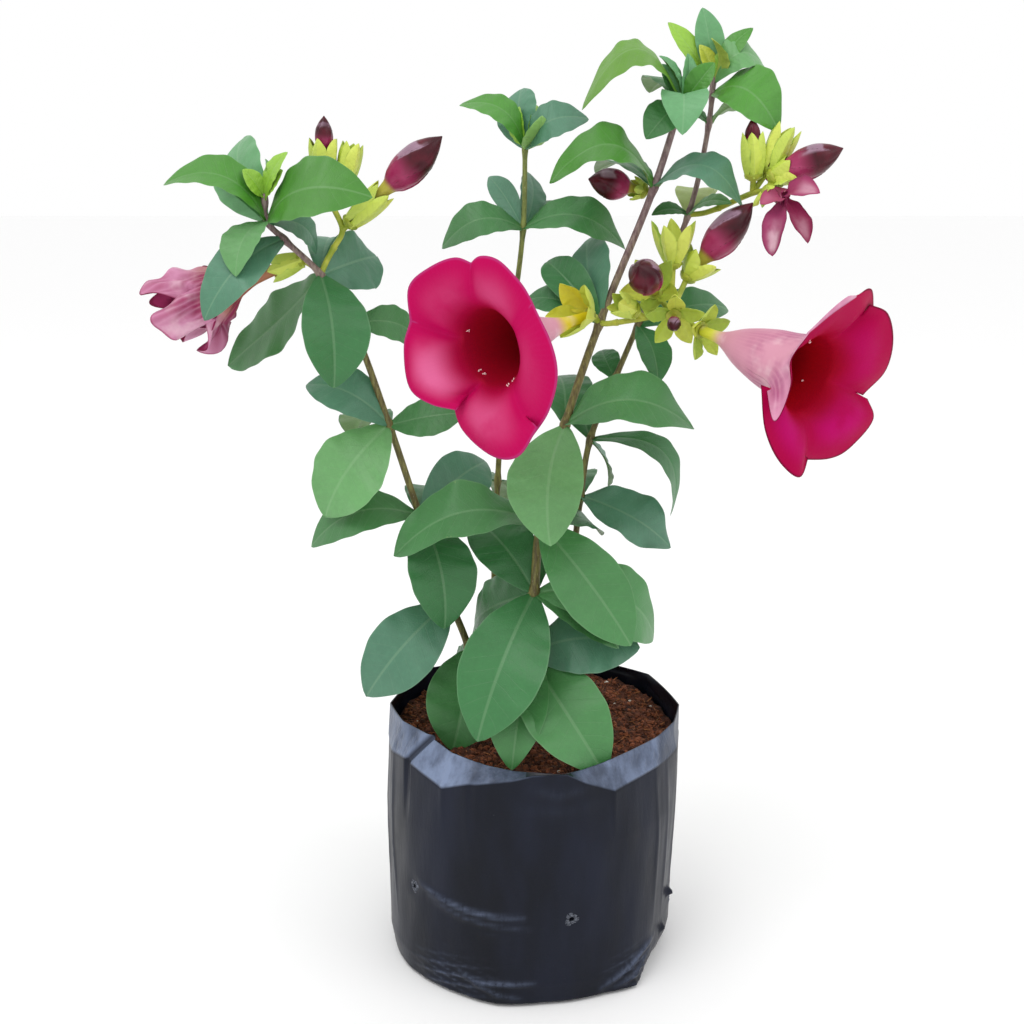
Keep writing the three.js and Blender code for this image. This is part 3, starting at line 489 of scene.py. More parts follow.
def paint(shader, tint, relief=None, depth=0):
    """Gives a shader its colour and fine relief, so many metres deep."""
    tree = shader.id_data
    feed(tree, tint, shader.inputs["Base Color"])
    if relief:
        feed(tree, add_node(tree, "ShaderNodeBump", {"Height": relief, "Distance": depth}),
             shader.inputs["Normal"])


def finish_piece(piece, node=None, material=None):
    """Gives a piece its place on the plant and its material, and hides the node of the model that it stands
    for.
    """
    if material:
        piece.data.materials.append(material)
    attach(piece, "root")
    if node:
        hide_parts(node)


film, tree, shader = new_material("black_polythene", .42, .18)
dust = noise(tree, 900, 4, .7).rise(.66, .8) * noise(tree, 45, 2).rise(.5, .7)
haze = noise(tree, 26, 3, .6, (1, 1, .4)).rise(.3, .75)
band_sheen = attribute(tree, "band_sheen")
drawn = noise(tree, 340, 3, .6, (1, 1, .25)) + noise(tree, 1500, 2) * .4
crinkle = noise(tree, 75, 4, .6, (1, 1, .6)).rise(.32, .62)
# Painted sheen: the folded band is painted paler, as if it reflected the sky, and dark in the fold that lies
# in shade
sheen = band_sheen * (haze * .5 + drawn * .3 + .28) * (crinkle * .6 + .5)
# Painted highlight: the film is painted paler along the upper side of its creases and on the tucked wrinkles
crease_highlight = attribute(tree, "crease_highlight") * drawn.rise(.3, .9)
tint = blend(sheen, blend(haze, "0a0e18", "151a2a"), "7c8aa6")
tint = blend(dust * .35, blend(crease_highlight * .6, tint, "66718a"), "8b8f98")
feed(tree, noise(tree, 60, 3) * .2 + .26, shader.inputs["Roughness"])
paint(shader, tint, drawn + band_sheen * crinkle * 7, .00012)
finish_piece(grow_bag, "grow_bag", film)

scuffed, tree, shader = new_material("scuffed_film", .5, .3)
paling = noise(tree, 1200, 4, .7).rise(.35, .7)
paint(shader, blend(paling, "20242e", "757a86"), paling, .0002)
finish_piece(hole_lips, None, scuffed)

# Potting mix
# Red-brown coir and soil, pressed into the bag up to a hand's breadth below its edge. Its top rises
# a little to the back, and is all loose crumbs and short fibres with a few white grains.
MIX_HEIGHT = .125
MIX_RISE_TO_BACK = .007
MIX_LUMP = .0009
MIX_RIPPLE = .0004
MIX_UNDER = .1
MIX_GAP = .0016
MIX_RADIUS = .078
MIX_COLUMNS = 160
MIX_RINGS = 60
GRAIN_SIZES = (.45, 1.5)
GRAIN_LUMPS = 700
GRAIN_TILT = .5
FULL_TURN = 6.283
CRUMBS = {
    # name: how many to the square metre, size, stretch, colours dark and light
    "crumbs": (230000, .00135, (1, .8, .65), "3b1d12", "8a4d2e"),
    "fibres": (52000, .00055, (7.5, .5, .5), "5a2f1b", "a5693f"),
    "white_grains": (900, .0011, (1, .9, .8), "b9b2a6", "e6e0d6"),
}


def mix_height(x, y):
    """The slope of the mix and its broad lumps."""
    lump = np.sin(310 * x + 170 * y) + np.sin(230 * x - 370 * y)
    return MIX_HEIGHT + MIX_RISE_TO_BACK * y / .08 + MIX_LUMP * lump


mix_angles = np.arange(MIX_COLUMNS) * 360 / MIX_COLUMNS
rim_guess = mix_height(*(MIX_RADIUS * turned(np.radians(mix_angles)) for turned in (np.cos, np.sin)))
rim_radius = np.minimum(film_radius(mix_angles, rim_guess), film_radius(mix_angles, rim_guess + .003))
rim_radius = rim_radius - MIX_GAP
under_radius = film_radius(mix_angles, MIX_UNDER) - MIX_GAP - .001
mix_rings = [polar(mix_angles, .02 * rim_radius, MIX_UNDER), polar(mix_angles, under_radius, MIX_UNDER)]
for part in np.linspace(1, .04, MIX_RINGS):
    ring = polar(mix_angles, part * rim_radius, 0)
    x, y = ring[:, 0], ring[:, 1]
    fine = np.sin(x * 1900 + 1) * np.sin(y * 1700) + np.sin(x * 900 - y * 1100)
    ring[:, 2] = mix_height(x, y) + MIX_RIPPLE * fine * min(1, 8 * (1 - part))
    ring[:, 2] -= .001 * max(0, part - .96) / .04
    mix_rings.append(ring)
potting_mix = new_piece("potting_mix_top", np.concatenate(mix_rings), drum_faces(len(mix_rings), MIX_COLUMNS))

coir, tree, shader = new_material("coir_and_soil", .95)
patches = noise(tree, 120, 5, .7).rise(.3, .72)
paint(shader, blend(patches, "2b140c", "6e3a22"), noise(tree, 500, 5, .7), .0012)
finish_piece(potting_mix, "potting_mix", coir)


def new_tree(name, **sizes):
    """A geometry tree, and its inputs by name: a mesh, the given sizes and a material."""
    tree = bpy.data.node_groups.new(name, "GeometryNodeTree")
    inputs = {"Geometry": "Geometry", **sizes, "Material": "Material"}
    for size_name, kind in inputs.items():
        tree.interface.new_socket(name=size_name, in_out="INPUT", socket_type=f"NodeSocket{kind}")
    tree.interface.new_socket(name="Geometry", in_out="OUTPUT", socket_type="NodeSocketGeometry")
    given = tree.nodes.new("NodeGroupInput")
    return tree, {size_name: Formula(tree, given.outputs[size_name]) for size_name in inputs}


def carried(tree, name, kind="FLOAT"):
    """A value that the points carry into a geometry tree."""
    return add_node(tree, "GeometryNodeInputNamedAttribute", {"Name": name}, "Attribute", data_type=kind)


def end_tree(tree, given, geometry):
    """Ends a tree: copies become real, and take the material."""
    real = add_node(tree, "GeometryNodeRealizeInstances", {0: geometry})
    painted = add_node(tree, "GeometryNodeSetMaterial", {"Geometry": real, "Material": given["Material"]})
    feed(tree, painted, tree.nodes.new("NodeGroupOutput").inputs[0])
    return tree


def grow(source, tree, name, **sizes):
    """Runs a tree on a source object and keeps the result as a plain mesh piece."""
    modifier = source.modifiers.new("growth", "NODES")
    modifier.node_group = tree
    for item in tree.interface.items_tree:
        if item.in_out == "INPUT" and item.name in sizes:
            modifier[item.identifier] = sizes[item.name]
    mesh = plain_mesh(source)
    mesh.name = name
    bpy.data.objects.remove(source)
    return add_object(name, mesh)


def scatter_tree():
    """Rough grains on the upward faces of a mesh, each turned and sized at random."""
    tree, given = new_tree("scattered_grains", Density="Float", Size="Float", Stretch="Vector",
                           Roughness="Float", Seed="Int")
    upward = add_node(tree, "GeometryNodeInputNormal").calculate("DOT_PRODUCT", (0, 0, 1)).rise(.5, .6)
    points = add_node(tree, "GeometryNodeDistributePointsOnFaces", {
        "Mesh": given["Geometry"], "Selection": upward, "Density": given["Density"], "Seed": given["Seed"]})
    grain = add_node(tree, "GeometryNodeMeshIcoSphere", {"Radius": 1, "Subdivisions": 1})
    size = add_node(tree, "FunctionNodeRandomValue", {
        2: GRAIN_SIZES[0], 3: GRAIN_SIZES[1], "Seed": given["Seed"]}, 1, data_type="FLOAT")
    turn = add_node(tree, "FunctionNodeRandomValue", {
        0: (-GRAIN_TILT, -GRAIN_TILT, 0), 1: (GRAIN_TILT, GRAIN_TILT, FULL_TURN)}, data_type="FLOAT_VECTOR")
    copies = add_node(tree, "GeometryNodeInstanceOnPoints", {
        "Points": points, "Instance": grain, "Scale": given["Stretch"] * (size * given["Size"]),
        "Rotation": turn})
    shade = add_node(tree, "FunctionNodeRandomValue", {"Seed": 5}, 1, data_type="FLOAT")
    shaded = add_node(tree, "GeometryNodeStoreNamedAttribute", {
        "Geometry": copies, "Name": "shade", "Value": shade}, data_type="FLOAT", domain="INSTANCE")
    real = add_node(tree, "GeometryNodeRealizeInstances", {0: shaded})
    away = add_node(tree, "ShaderNodeTexNoise", {"Scale": GRAIN_LUMPS}, "Color") - (.5, .5, .5)
    moved = add_node(tree, "GeometryNodeSetPosition", {
        "Geometry": real, "Offset": away * given["Roughness"]})
    return end_tree(tree, given, moved)


grains = scatter_tree()
mix_surface = mix_rings[4:]
for number, (name, (density, size, stretch, dark, light)) in enumerate(CRUMBS.items()):
    grit, tree, shader = new_material(f"coir_{name}", .9)
    paint(shader, blend(attribute(tree, "shade"), dark, light))
    top = new_piece("mix_surface", np.concatenate(mix_surface), ring_faces(len(mix_surface), MIX_COLUMNS))
    loose = grow(top, grains, name, Density=density, Size=size, Stretch=stretch,
                 Roughness=size * 1.2, Seed=number + 3, Material=grit)
    finish_piece(loose)

# Stems
# Four woody shoots of the climber. They come up out of the mix, swell a little at each whorl of
# leaves, and turn from olive-brown bark below to purple-grey young bark above.
NODE_SWELLING = .42
BARK_TURN = (.33, .41)
SWELLING_REACH = .0032
ROD_SIDES = 14
LINE_STEPS = 26
# Each shoot: its line and its thickness from foot to tip. Then, at each node, the leaves by reach,
# width, arch, roll to the front, colour, and fold and wave if they have any. The small leaves of the
# growing tip have reach, width and colour. The stalks carry the flowers.
STEMS = {
    "main": {
        "line": [(-.002, -.008, .092), (-.003, -.01, .172), (0, -.016, .209), (.003, -.014, .247),
         (.016, -.01, .3), (.034, -.002, .353), (.062, .01, .422), (.076, .016, .466)],
        "thick": (.0028, .0017),
        "whorls": [
            ((-.003, -.01, .172), [((-.009, -.052, -.044), .034, .16, 0, "green", 8),
             ((.039, -.05, -.048), .046, .14, 25, "green", 8),
             ((.06, -.008, .009), .04, .2, 48, "bluish", -6), ((-.002, .058, -.008), .027, .2, 0, "dark")]),
            ((0, -.016, .209), [((-.029, -.046, -.066), .047, .12, 20, "dark", 8),
             ((-.034, .026, .038), .034, .1, 40, "dark"), ((.046, -.015, -.024), .026, .14, 30, "green"),
             ((-.036, .042, -.032), .04, .1, 60, "dark"), ((.068, .014, -.028), .042, .32, 52, "green"),
             ((-.004, .058, .008), .027, .18, 0, "dark")]),
            ((.003, -.014, .247), [((-.077, -.014, -.012), .038, .24, 34, "green", 0, .002),
             ((.049, -.027, -.058), .038, .14, 48, "green", 6),
             ((.035, .03, -.012), .028, .14, 20, "dark"), ((.003, .052, .012), .027, .16, 0, "dark")]),
            ((.016, -.01, .3), [((.067, -.008, .002), .036, .3, 40, "green", 0, .0015),
             ((-.01, -.034, -.056), .042, .12, 0, "light", 6), ((-.004, .048, .02), .03, .14, 0, "dark")]),
            ((.034, -.002, .353), [((-.006, .038, .042), .031, .1, 50, "bluish"),
             ((-.028, .032, .03), .022, .14, 42, "dark", 16), ((-.041, .026, .009), .022, .14, 40, "dark")]),
            ((.062, .01, .422), [((-.054, -.006, .004), .035, .45, 32, "bright", 0, .001),
             ((.045, -.014, -.008), .032, .36, 26, "bluish", 0, .001),
             ((-.028, .044, .008), .022, .16, 0, "dark")]),
            ((.076, .016, .464), [((-.052, -.005, -.001), .036, .58, 24, "fresh", -8),
             ((-.019, -.014, -.017), .02, .2, 40, "green"),
             ((-.003, -.03, -.014), .025, .36, 0, "misty", 8),
             ((-.014, .036, .008), .026, .24, 0, "green"),
             ((-.012, -.008, .024), .011, .1, 50, "misty", 12)]),
        ],
        "tip": ((.076, .016, .464), [((-.0114, -.004, .0197), .011, "misty"),
         ((.0155, -.004, .0207), .013, "bright"), ((.004, .004, .0254), .011, "misty")]),
        "stalks": [[(.034, -.002, .353), (.032, -.005, .355), (.031, -.007, .3565)],
         [(.034, -.002, .353), (.037, -.0065, .353), (.043, -.009, .354)],
         [(.062, .01, .422), (.062, .013, .421), (.061, .016, .42)]],
    },
    "left": {
        "line": [(-.018, .008, .092), (-.036, .005, .17), (-.046, .004, .198), (-.062, 0, .248),
         (-.077, -.006, .299), (-.095, -.012, .353), (-.11, -.014, .379), (-.128, -.015, .397),
         (-.136, -.016, .406), (-.137, -.016, .42)],
        "thick": (.0021, .0014),
        "whorls": [
            ((-.036, .005, .17), [((-.009, -.034, -.046), .044, .12, 20, "green", 4),
             ((-.01, .03, -.038), .031, .1, 60, "dark")]),
            ((-.046, .004, .198), [((-.045, -.022, -.048), .039, .22, 52, "bluish", 0, .001),
             ((-.01, .046, -.014), .03, .18, 0, "dark")]),
            ((-.062, 0, .248), [((-.059, -.008, -.013), .03, .3, 40, "green"),
             ((.014, -.03, -.054), .04, .12, 0, "dark", 6), ((.036, .034, .024), .032, .16, 50, "bluish"),
             ((.004, .052, .002), .03, .16, 0, "dark")]),
            ((-.077, -.006, .299), [((-.044, .006, .022), .029, .26, 46, "bluish"),
             ((-.035, -.014, -.046), .042, .2, 46, "light", 0, .001),
             ((.04, -.004, .008), .024, .1, 50, "green"), ((-.024, .044, -.014), .028, .18, 0, "dark")]),
            ((-.095, -.012, .353), [((.036, .012, -.01), .026, .2, 42, "green")]),
            ((-.11, -.014, .379), [((.008, -.024, -.054), .036, .14, 0, "dark", 10),
             ((-.057, .024, -.05), .042, -.06, 50, "green", 0, .0015),
             ((.027, .028, .008), .035, .1, 60, "bluish", 0, .0015),
             ((.002, .044, .014), .02, .2, 0, "bluish")]),
            ((-.128, -.015, .397), [((-.038, -.028, -.036), .027, .16, 42, "bluish", 0, .001)]),
            ((-.136, -.016, .406), [((-.05, -.006, .02), .028, .3, 34, "bright", 6),
             ((-.013, -.026, -.024), .024, .2, 0, "light", 4),
             ((.054, -.022, .014), .04, .25, 50, "bright")]),
            ((-.137, -.016, .416), [((.012, -.006, .025), .014, .1, 60, "young")]),
            ((-.136, -.016, .406), [((.024, .008, -.016), .022, .3, 40, "bluish"),
             ((-.018, .034, .042), .035, .14, 60, "misty"), ((-.032, .026, .028), .018, .16, 30, "green")]),
        ],
        "tip": ((-.137, -.016, .418), [((-.009, -.007, .014), .011, "young"),
         ((.01, -.007, .014), .012, "young"), ((.001, .006, .019), .011, "light")]),
        "stalks": [[(-.11, -.014, .379), (-.113, -.012, .382), (-.117, -.0095, .385)],
         [(-.11, -.014, .379), (-.107, -.012, .386), (-.103, -.01, .393)]],
    },
    "middle": {
        "line": [(-.014, .028, .092), (-.022, .031, .19), (-.02, .032, .26), (-.016, .034, .317),
         (-.006, .034, .399), (-.005, .034, .443)],
        "thick": (.0018, .0013),
        "whorls": [
            ((-.02, .032, .26), [((-.03, .044, -.024), .028, .14, 0, "dark"),
             ((.014, .042, -.034), .028, .14, 0, "dark")]),
            ((-.016, .034, .317), [((-.03, .036, .014), .028, .18, 0, "dark"),
             ((.004, .046, .012), .028, .18, 0, "dark")]),
            ((-.006, .034, .399), [((-.044, -.006, -.008), .026, .34, 42, "green"),
             ((.055, -.007, -.008), .027, .3, 42, "green", 0, .001),
             ((-.019, .024, .028), .014, .1, 50, "bluish"), ((.004, .024, .03), .02, .1, 50, "bluish"),
             ((.008, .046, .004), .026, .24, 0, "green")]),
            ((-.005, .034, .441), [((-.034, .002, .024), .024, .3, 34, "bright"),
             ((.033, -.006, .016), .028, .3, 46, "bluish"), ((-.003, .02, .032), .026, .12, 40, "bluish"),
             ((.009, -.012, .0165), .0185, .16, 180, "soft")]),
        ],
        "tip": ((-.005, .034, .441), [((-.004, .006, .022), .012, "young"),
         ((.007, .01, .023), .012, "young"), ((.001, .014, .025), .011, "light")]),
        "stalks": [],
    },
    "back": {
        "line": [(.012, .022, .092), (.02, .022, .19), (.026, .02, .254), (.031, .021, .286),
         (.044, .022, .319), (.056, .023, .348), (.082, .026, .407), (.092, .03, .454), (.094, .032, .478)],
        "thick": (.0019, .0013),
        "whorls": [
            ((.026, .02, .254), [((.051, -.006, -.026), .032, .14, 46, "bluish", 0, .002),
             ((-.006, .054, -.004), .028, .18, 0, "dark")]),
            ((.031, .021, .286), [((.047, -.002, -.041), .022, .44, 30, "dark"),
             ((-.014, .046, .01), .028, .18, 0, "dark"), ((.012, .008, -.028), .02, .12, 30, "bluish")]),
            ((.044, .022, .319), [((-.006, .02, .014), .016, .12, 20, "dark")]),
            ((.056, .023, .348), [((.009, -.026, -.026), .02, .12, 0, "dark", 8),
             ((.052, .018, .008), .026, .18, 40, "dark"), ((.01, .048, .006), .026, .2, 0, "dark")]),
            ((.082, .026, .407), [((-.02, -.007, .001), .01, .16, 40, "green"),
             ((.02, -.018, .008), .014, .14, 30, "light"), ((.016, .04, .008), .024, .2, 0, "pale")]),
            ((.092, .03, .454), [((.033, .002, .004), .018, .3, -28, "green"),
             ((-.015, .006, .007), .012, .14, 20, "green")]),
            ((.0935, .0315, .469), [((.033, -.02, -.017), .033, .4, 44, "bright")]),
            ((.094, .032, .475), [((.027, .004, .009), .024, .5, 46, "light"),
             ((-.007, .002, .038), .016, .06, 70, "misty"), ((-.024, .002, .031), .0125, .08, 60, "young"),
             ((.019, -.002, .028), .0125, .12, 60, "bright"),
             ((-.002, -.01, .022), .017, .16, 60, "yellow", 6),
             ((.004, .038, .014), .024, .24, 0, "green")]),
        ],
        "tip": ((.094, .032, .476), [((-.008, -.004, .018), .011, "yellow"),
         ((.01, -.004, .016), .012, "young"), ((.001, .006, .02), .011, "misty")]),
        "stalks": [[(.082, .026, .407), (.09, .024, .408), (.098, .02, .411)]],
    },
}


def between(t, first, second, low, high):
    """The point that lies between two points as t lies between low and high."""
    return ((high - t) * first + (t - low) * second) / (high - low)


def smooth_line(corners, steps):
    """Points on a smooth line through the corners (a centripetal Catmull-Rom curve)."""
    corners = np.array(corners, float)
    ends = [2 * corners[0] - corners[1], *corners, 2 * corners[-1] - corners[-2]]
    points = []
    for four in zip(ends, ends[1:], ends[2:], ends[3:]):
        gaps = [max(np.linalg.norm(after - before), 1e-9) ** .5 for before, after in zip(four, four[1:])]
        knots = np.cumsum([0, *gaps])
        for t in np.linspace(knots[1], knots[2], steps, endpoint=False):
            level = list(four)
            for reach in (1, 2):
                level = [between(t, *level[k:k + 2], knots[k], knots[k + reach]) for k in range(4 - reach)]
            points.append(between(t, *level, knots[1], knots[2]))
    return np.array([*points, corners[-1]])


def loose_points(name, places, edges=()):
    """Points with nothing between them but the given edges."""
    mesh = bpy.data.meshes.new(name)
    mesh.from_pydata(np.array(places, float).tolist(), edges, [])
    return add_object(name, mesh)


def rod_tree():
    """Round rods along lines, thicker round the places where leaves are set on."""
    tree, given = new_tree("tapered_rods", Joints="Object", Swelling="Float", Reach="Float", Sides="Int")
    curve = add_node(tree, "GeometryNodeMeshToCurve", {0: given["Geometry"]})
    joints = add_node(tree, "GeometryNodeObjectInfo", {"Object": given["Joints"]}, "Geometry")
    gap = add_node(tree, "GeometryNodeProximity", {0: joints}, "Distance", target_element="POINTS")
    away = gap / given["Reach"]
    radius = carried(tree, "thick") * ((away * away * -1).natural() * given["Swelling"] + 1)
    ring = add_node(tree, "GeometryNodeCurvePrimitiveCircle", {"Resolution": given["Sides"], "Radius": 1})
    rods = add_node(tree, "GeometryNodeCurveToMesh", {
        "Curve": curve, "Profile Curve": ring, "Scale": radius, "Fill Caps": True})
    return end_tree(tree, given, rods)


rods = rod_tree()


def grow_rods(name, lines, joint_places, swelling, reach, material):
    """Rods along lines of places with a thickness at each."""
    places, thick, edges = [], [], []
    for line, radii in lines:
        edges += [(len(places) + k, len(places) + k + 1) for k in range(len(line) - 1)]
        places += list(line)
        thick += list(radii)
    source = loose_points("rod_lines", places, edges)
    mark_points(source, {"thick": thick})
    joints = loose_points("joints", joint_places)
    rod = grow(source, rods, name, Joints=joints, Swelling=swelling, Reach=reach, Sides=ROD_SIDES,
               Material=material)
    bpy.data.objects.remove(joints)
    rod.data.shade_smooth()
    return rod


def bark_skin(name, old_dark, old_pale, young_dark, young_pale):
    """Streaked bark, old below and young above, with a few pale pores."""
    material, tree, shader = new_material(name, .55)
    place = add_node(tree, "ShaderNodeTexCoord", output="Object")
    age = add_node(tree, "ShaderNodeSeparateXYZ", {0: place}, "Z").rise(*BARK_TURN)
    streaks = noise(tree, 700, 4, .6, (1, 1, .2)).rise(.35, .7)
    specks = noise(tree, 1400, 2, .5, (1, 1, .5)).rise(.66, .72)
    tint = blend(age, blend(streaks, old_dark, old_pale), blend(streaks, young_dark, young_pale))
    paint(shader, blend(specks * .4, tint, "b9ad8f"), noise(tree, 900, 3, .6, (1, 1, .15)), .0003)
    return material


woody_bark = bark_skin("woody_bark", "554a26", "807a40", "73575c", "a08a88")
green_bark = bark_skin("green_bark", "5a5426", "86863e", "5e6a30", "8d964c")
for name, stem in STEMS.items():
    line = smooth_line(stem["line"], LINE_STEPS)
    nodes = [whorl[0] for whorl in stem["whorls"]]
    rod = grow_rods(f"stem_{name}", [(line, np.linspace(*stem["thick"], len(line)))], nodes, NODE_SWELLING,
                    SWELLING_REACH, green_bark if name == "middle" else woody_bark)
    finish_piece(rod, f"leafy_stem_{name}")

# Leaves
# Whorls of leathery leaves on very short stalks, broadest past the middle, with a short point. The
# pale midrib is sunk in above and stands out below, and side veins run from it towards the edge.
# Two of these tones are partly painted light: 'bluish' adds a painted sheen of sky to a leaf's green, and
# 'dark', given to older leaves and to the leaves at the back, is partly painted shade on the back ones
LEAF_COLOURS = {
    "dark": "32713c", "green": "437f45", "bluish": "4f8266", "light": "629a5c", "bright": "458728",
    "fresh": "5f9818", "young": "8fbe3e", "pale": "b4c878", "misty": "66a36c", "yellow": "c0cc4c",
    "soft": "8ab864",
}
LEAF_SIZES = {"Thickness": .00042, "Stalk": .0008, "Fullness": .64, "Point": .42, "Veins": 11.0,
              "Quilting": .0002, "Rib": .0004, "Droop": .05}
LEAF_LIFT = .0004
LEAF_GRID = (44, 14)
LEAF_CUP = .08
TIP_LEAF = (.08, 80, 10, 0, .1)
BLADE_SHOULDER = .85
BLADE_WIDEST = 2.72
BLADE_SWAY = (.035, .02)
RIPPLES = (2.2, 5.3)
SMALL_RIPPLE = .016
STALK_SHARE = .14
VEIN_LEAN = .2
RIB_WIDTH = .0007
BLADE_WELD = .00001
SHARP_EDGE = math.radians(60)
UP = np.array([0, 0, 1.0])
FRONT = np.array([0, -1.0, 0])


def unit(vector):
    """The same direction, one long."""
    return np.asarray(vector, float) / np.linalg.norm(vector)


def leaf_face(reach, roll):
    """The way that a leaf's upper face looks. The roll turns it towards the front."""
    along = unit(reach)
    raised = unit(UP - along * (UP @ along))
    turned = np.cross(along, raised)
    if turned @ FRONT < 0:
        turned = -turned
    return raised * math.cos(math.radians(roll)) + turned * math.sin(math.radians(roll))


def blank_blade(rows, columns):
    """A flat leaf blank with an upper and a lower skin that share their edge."""
    spread = np.linspace(-1, 1, columns + 1)
    across = np.sign(spread) * np.abs(spread) ** 1.35
    t, v = np.meshgrid(np.linspace(0, 1, rows + 1), across, indexing="ij")
    upper = np.arange(t.size).reshape(t.shape)
    lower = upper.copy()
    inside = (slice(1, -1), slice(1, -1))
    lower[inside] = upper.size + np.arange(upper[inside].size).reshape(upper[inside].shape)
    skin = np.zeros(upper.shape)
    skin[inside] = 1
    faces = []
    for row in range(rows):
        for column in range(columns):
            corners = ((row, column), (row, column + 1), (row + 1, column + 1), (row + 1, column))
            faces.append([upper[corner] for corner in corners])
            faces.append([lower[corner] for corner in corners[::-1]])
    skin = np.r_[skin.ravel(), -np.ones(skin[inside].size)]
    t, v = (np.r_[grid.ravel(), grid[inside].ravel()] for grid in (t, v))
    blank = new_piece("blade_blank", np.stack([v * .01, t * .05, skin * .0002], axis=1), faces)
    mark_points(blank, {"along": t, "across": v, "skin": skin})
    return blank


def blade_tree():
    """A leaf, lobe or limp petal at each point, shaped by the values that the point carries."""
    tree, given = new_tree("leaf_blades", Blank="Object", **{name: "Float" for name in LEAF_SIZES})
    blank = add_node(tree, "GeometryNodeObjectInfo", {"Object": given["Blank"]}, "Geometry")
    points = add_node(tree, "GeometryNodeMeshToPoints", {"Mesh": given["Geometry"]})
    copies = add_node(tree, "GeometryNodeInstanceOnPoints", {"Points": points, "Instance": blank})
    real = add_node(tree, "GeometryNodeRealizeInstances", {0: copies})
    root, reach, face = (carried(tree, name, "FLOAT_VECTOR") for name in ("root", "reach", "face"))
    wide, arch, fold, wave, cup, seed = (
        carried(tree, name) for name in ("wide", "arch", "fold", "wave", "cup", "seed"))
    t, v, skin = (carried(tree, name) for name in ("along", "across", "skin"))
    along = reach.unit()
    side = along.cross(face)
    sway = (seed * FULL_TURN).sine() * BLADE_SWAY[0] * t * (1 - t) * 4
    sway = sway + (seed * 17.1).sine() * BLADE_SWAY[1] * t * t
    droop = (t ** 5) * given["Droop"]
    rib = root + reach * t + (face * (arch * 4 * t * (1 - t) - droop) + side * sway) * reach.length()
    normal = (face - along * (arch * 4 * (1 - t * 2))).unit()
    outline = (t ** BLADE_SHOULDER) * ((1 - t) ** given["Fullness"]) * BLADE_WIDEST
    outline = outline * (1 - (t ** 6) * given["Point"])
    half = wide * .5 * outline * (1 + v * (seed * 9.7).sine() * .08)
    half = half + given["Stalk"] * (1 - t.rise(0, STALK_SHARE))
    margin = v.size()
    ripple = ((t * RIPPLES[0] + v * .25) * FULL_TURN).sine() * wave
    small_ripple = ((t * RIPPLES[1] + v * .4 + seed) * FULL_TURN).sine()
    small_ripple = small_ripple * (wide * SMALL_RIPPLE * (1 - t) * t * 4)
    rise = half * margin * fold + (margin ** 1.4) * (ripple + small_ripple) + half * cup * v * v
    phase = given["Veins"] * (t - margin * VEIN_LEAN * (1 - t * .5))
    quilt = (phase * math.pi).sine().size() ** .6 * (1 - margin ** 4) * margin.rise(0, .25)
    quilt = quilt * t.rise(0, .12) * (1 - t.rise(.9, 1))
    groove = ((v * half / RIB_WIDTH) ** 2 * -1).natural() * ((skin * -1).most(0) * 1.6 + .5)
    rise = rise + quilt * given["Quilting"] - groove * given["Rib"] * (1 - t.rise(.75, 1))
    thickness = given["Thickness"] * .5 + given["Stalk"] * .7 * (1 - t.rise(0, .12))
    place = rib + side * (v * half) + normal * (rise + skin * thickness)
    shaped = add_node(tree, "GeometryNodeSetPosition", {"Geometry": real, "Position": place})
    welded = add_node(tree, "GeometryNodeMergeByDistance", {"Geometry": shaped, "Distance": BLADE_WELD})
    return end_tree(tree, given, welded)


def leaf_skin(name, roughness, vein_pairs, back_colour, vein_strength):
    """A leaf material: pale veins over the colour that the blade carries, and a paler underside."""
    material, tree, shader = new_material(name, roughness)
    t, v, skin = (attribute(tree, kind) for kind in ("along", "across", "skin"))
    tone = attribute(tree, "tone", "Color")
    margin = v.size()
    patches = noise(tree, 38, 3, .55)
    mottle = noise(tree, 420, 3, .6)
    shaded = blend(patches.rise(.25, .8) * .4, tone, tone * .65)
    shaded = blend(mottle.rise(.4, .75) * .16, shaded, tone * 1.5)
    phase = (t + (patches - .5) * .06 - margin * VEIN_LEAN * (1 - t * .5)) * vein_pairs
    side_vein = 1 - (phase * math.pi).sine().size().rise(0, .14)
    side_vein = side_vein * (1 - margin.rise(.7, .98)) * t.rise(.02, .1)
    midrib = 1 - (margin * (t ** BLADE_SHOULDER) * ((1 - t) ** .62)).rise(.008, .02)
    pale = tone * .75 + (.09, .13, .08)
    veined = blend(midrib * vein_strength, blend(side_vein * .17, shaded, pale), pale)
    veined = blend(margin.rise(.955, .99) * .5, veined, pale)
    back = blend(side_vein.most(midrib) * .5, back_colour, tone * .5 + (.25, .28, .12))
    tint = blend((skin * -1).rise(0, .5), veined, blend(.45, back, shaded))
    feed(tree, mottle * .2 + (roughness - .1), shader.inputs["Roughness"])
    paint(shader, tint, noise(tree, 1500, 2, .5) + side_vein * -.5, .00014)
    return material


blades = blade_tree()


def sprout(name, node, blank, leaves, material, sizes):
    """Leaves from rows of root, reach, width, arch, face, fold, wave, cup, tone and seed."""
    kinds = ("root", "reach", "wide", "arch", "face", "fold", "wave", "cup", "tone", "seed")
    columns = dict(zip(kinds, zip(*leaves)))
    source = loose_points("leaf_roots", columns["root"])
    mark_points(source, columns)
    piece = grow(source, blades, name, Blank=blank, Material=material, **sizes)
    piece.data.shade_smooth()
    piece.data.set_sharp_from_angle(angle=SHARP_EDGE)
    finish_piece(piece, node)


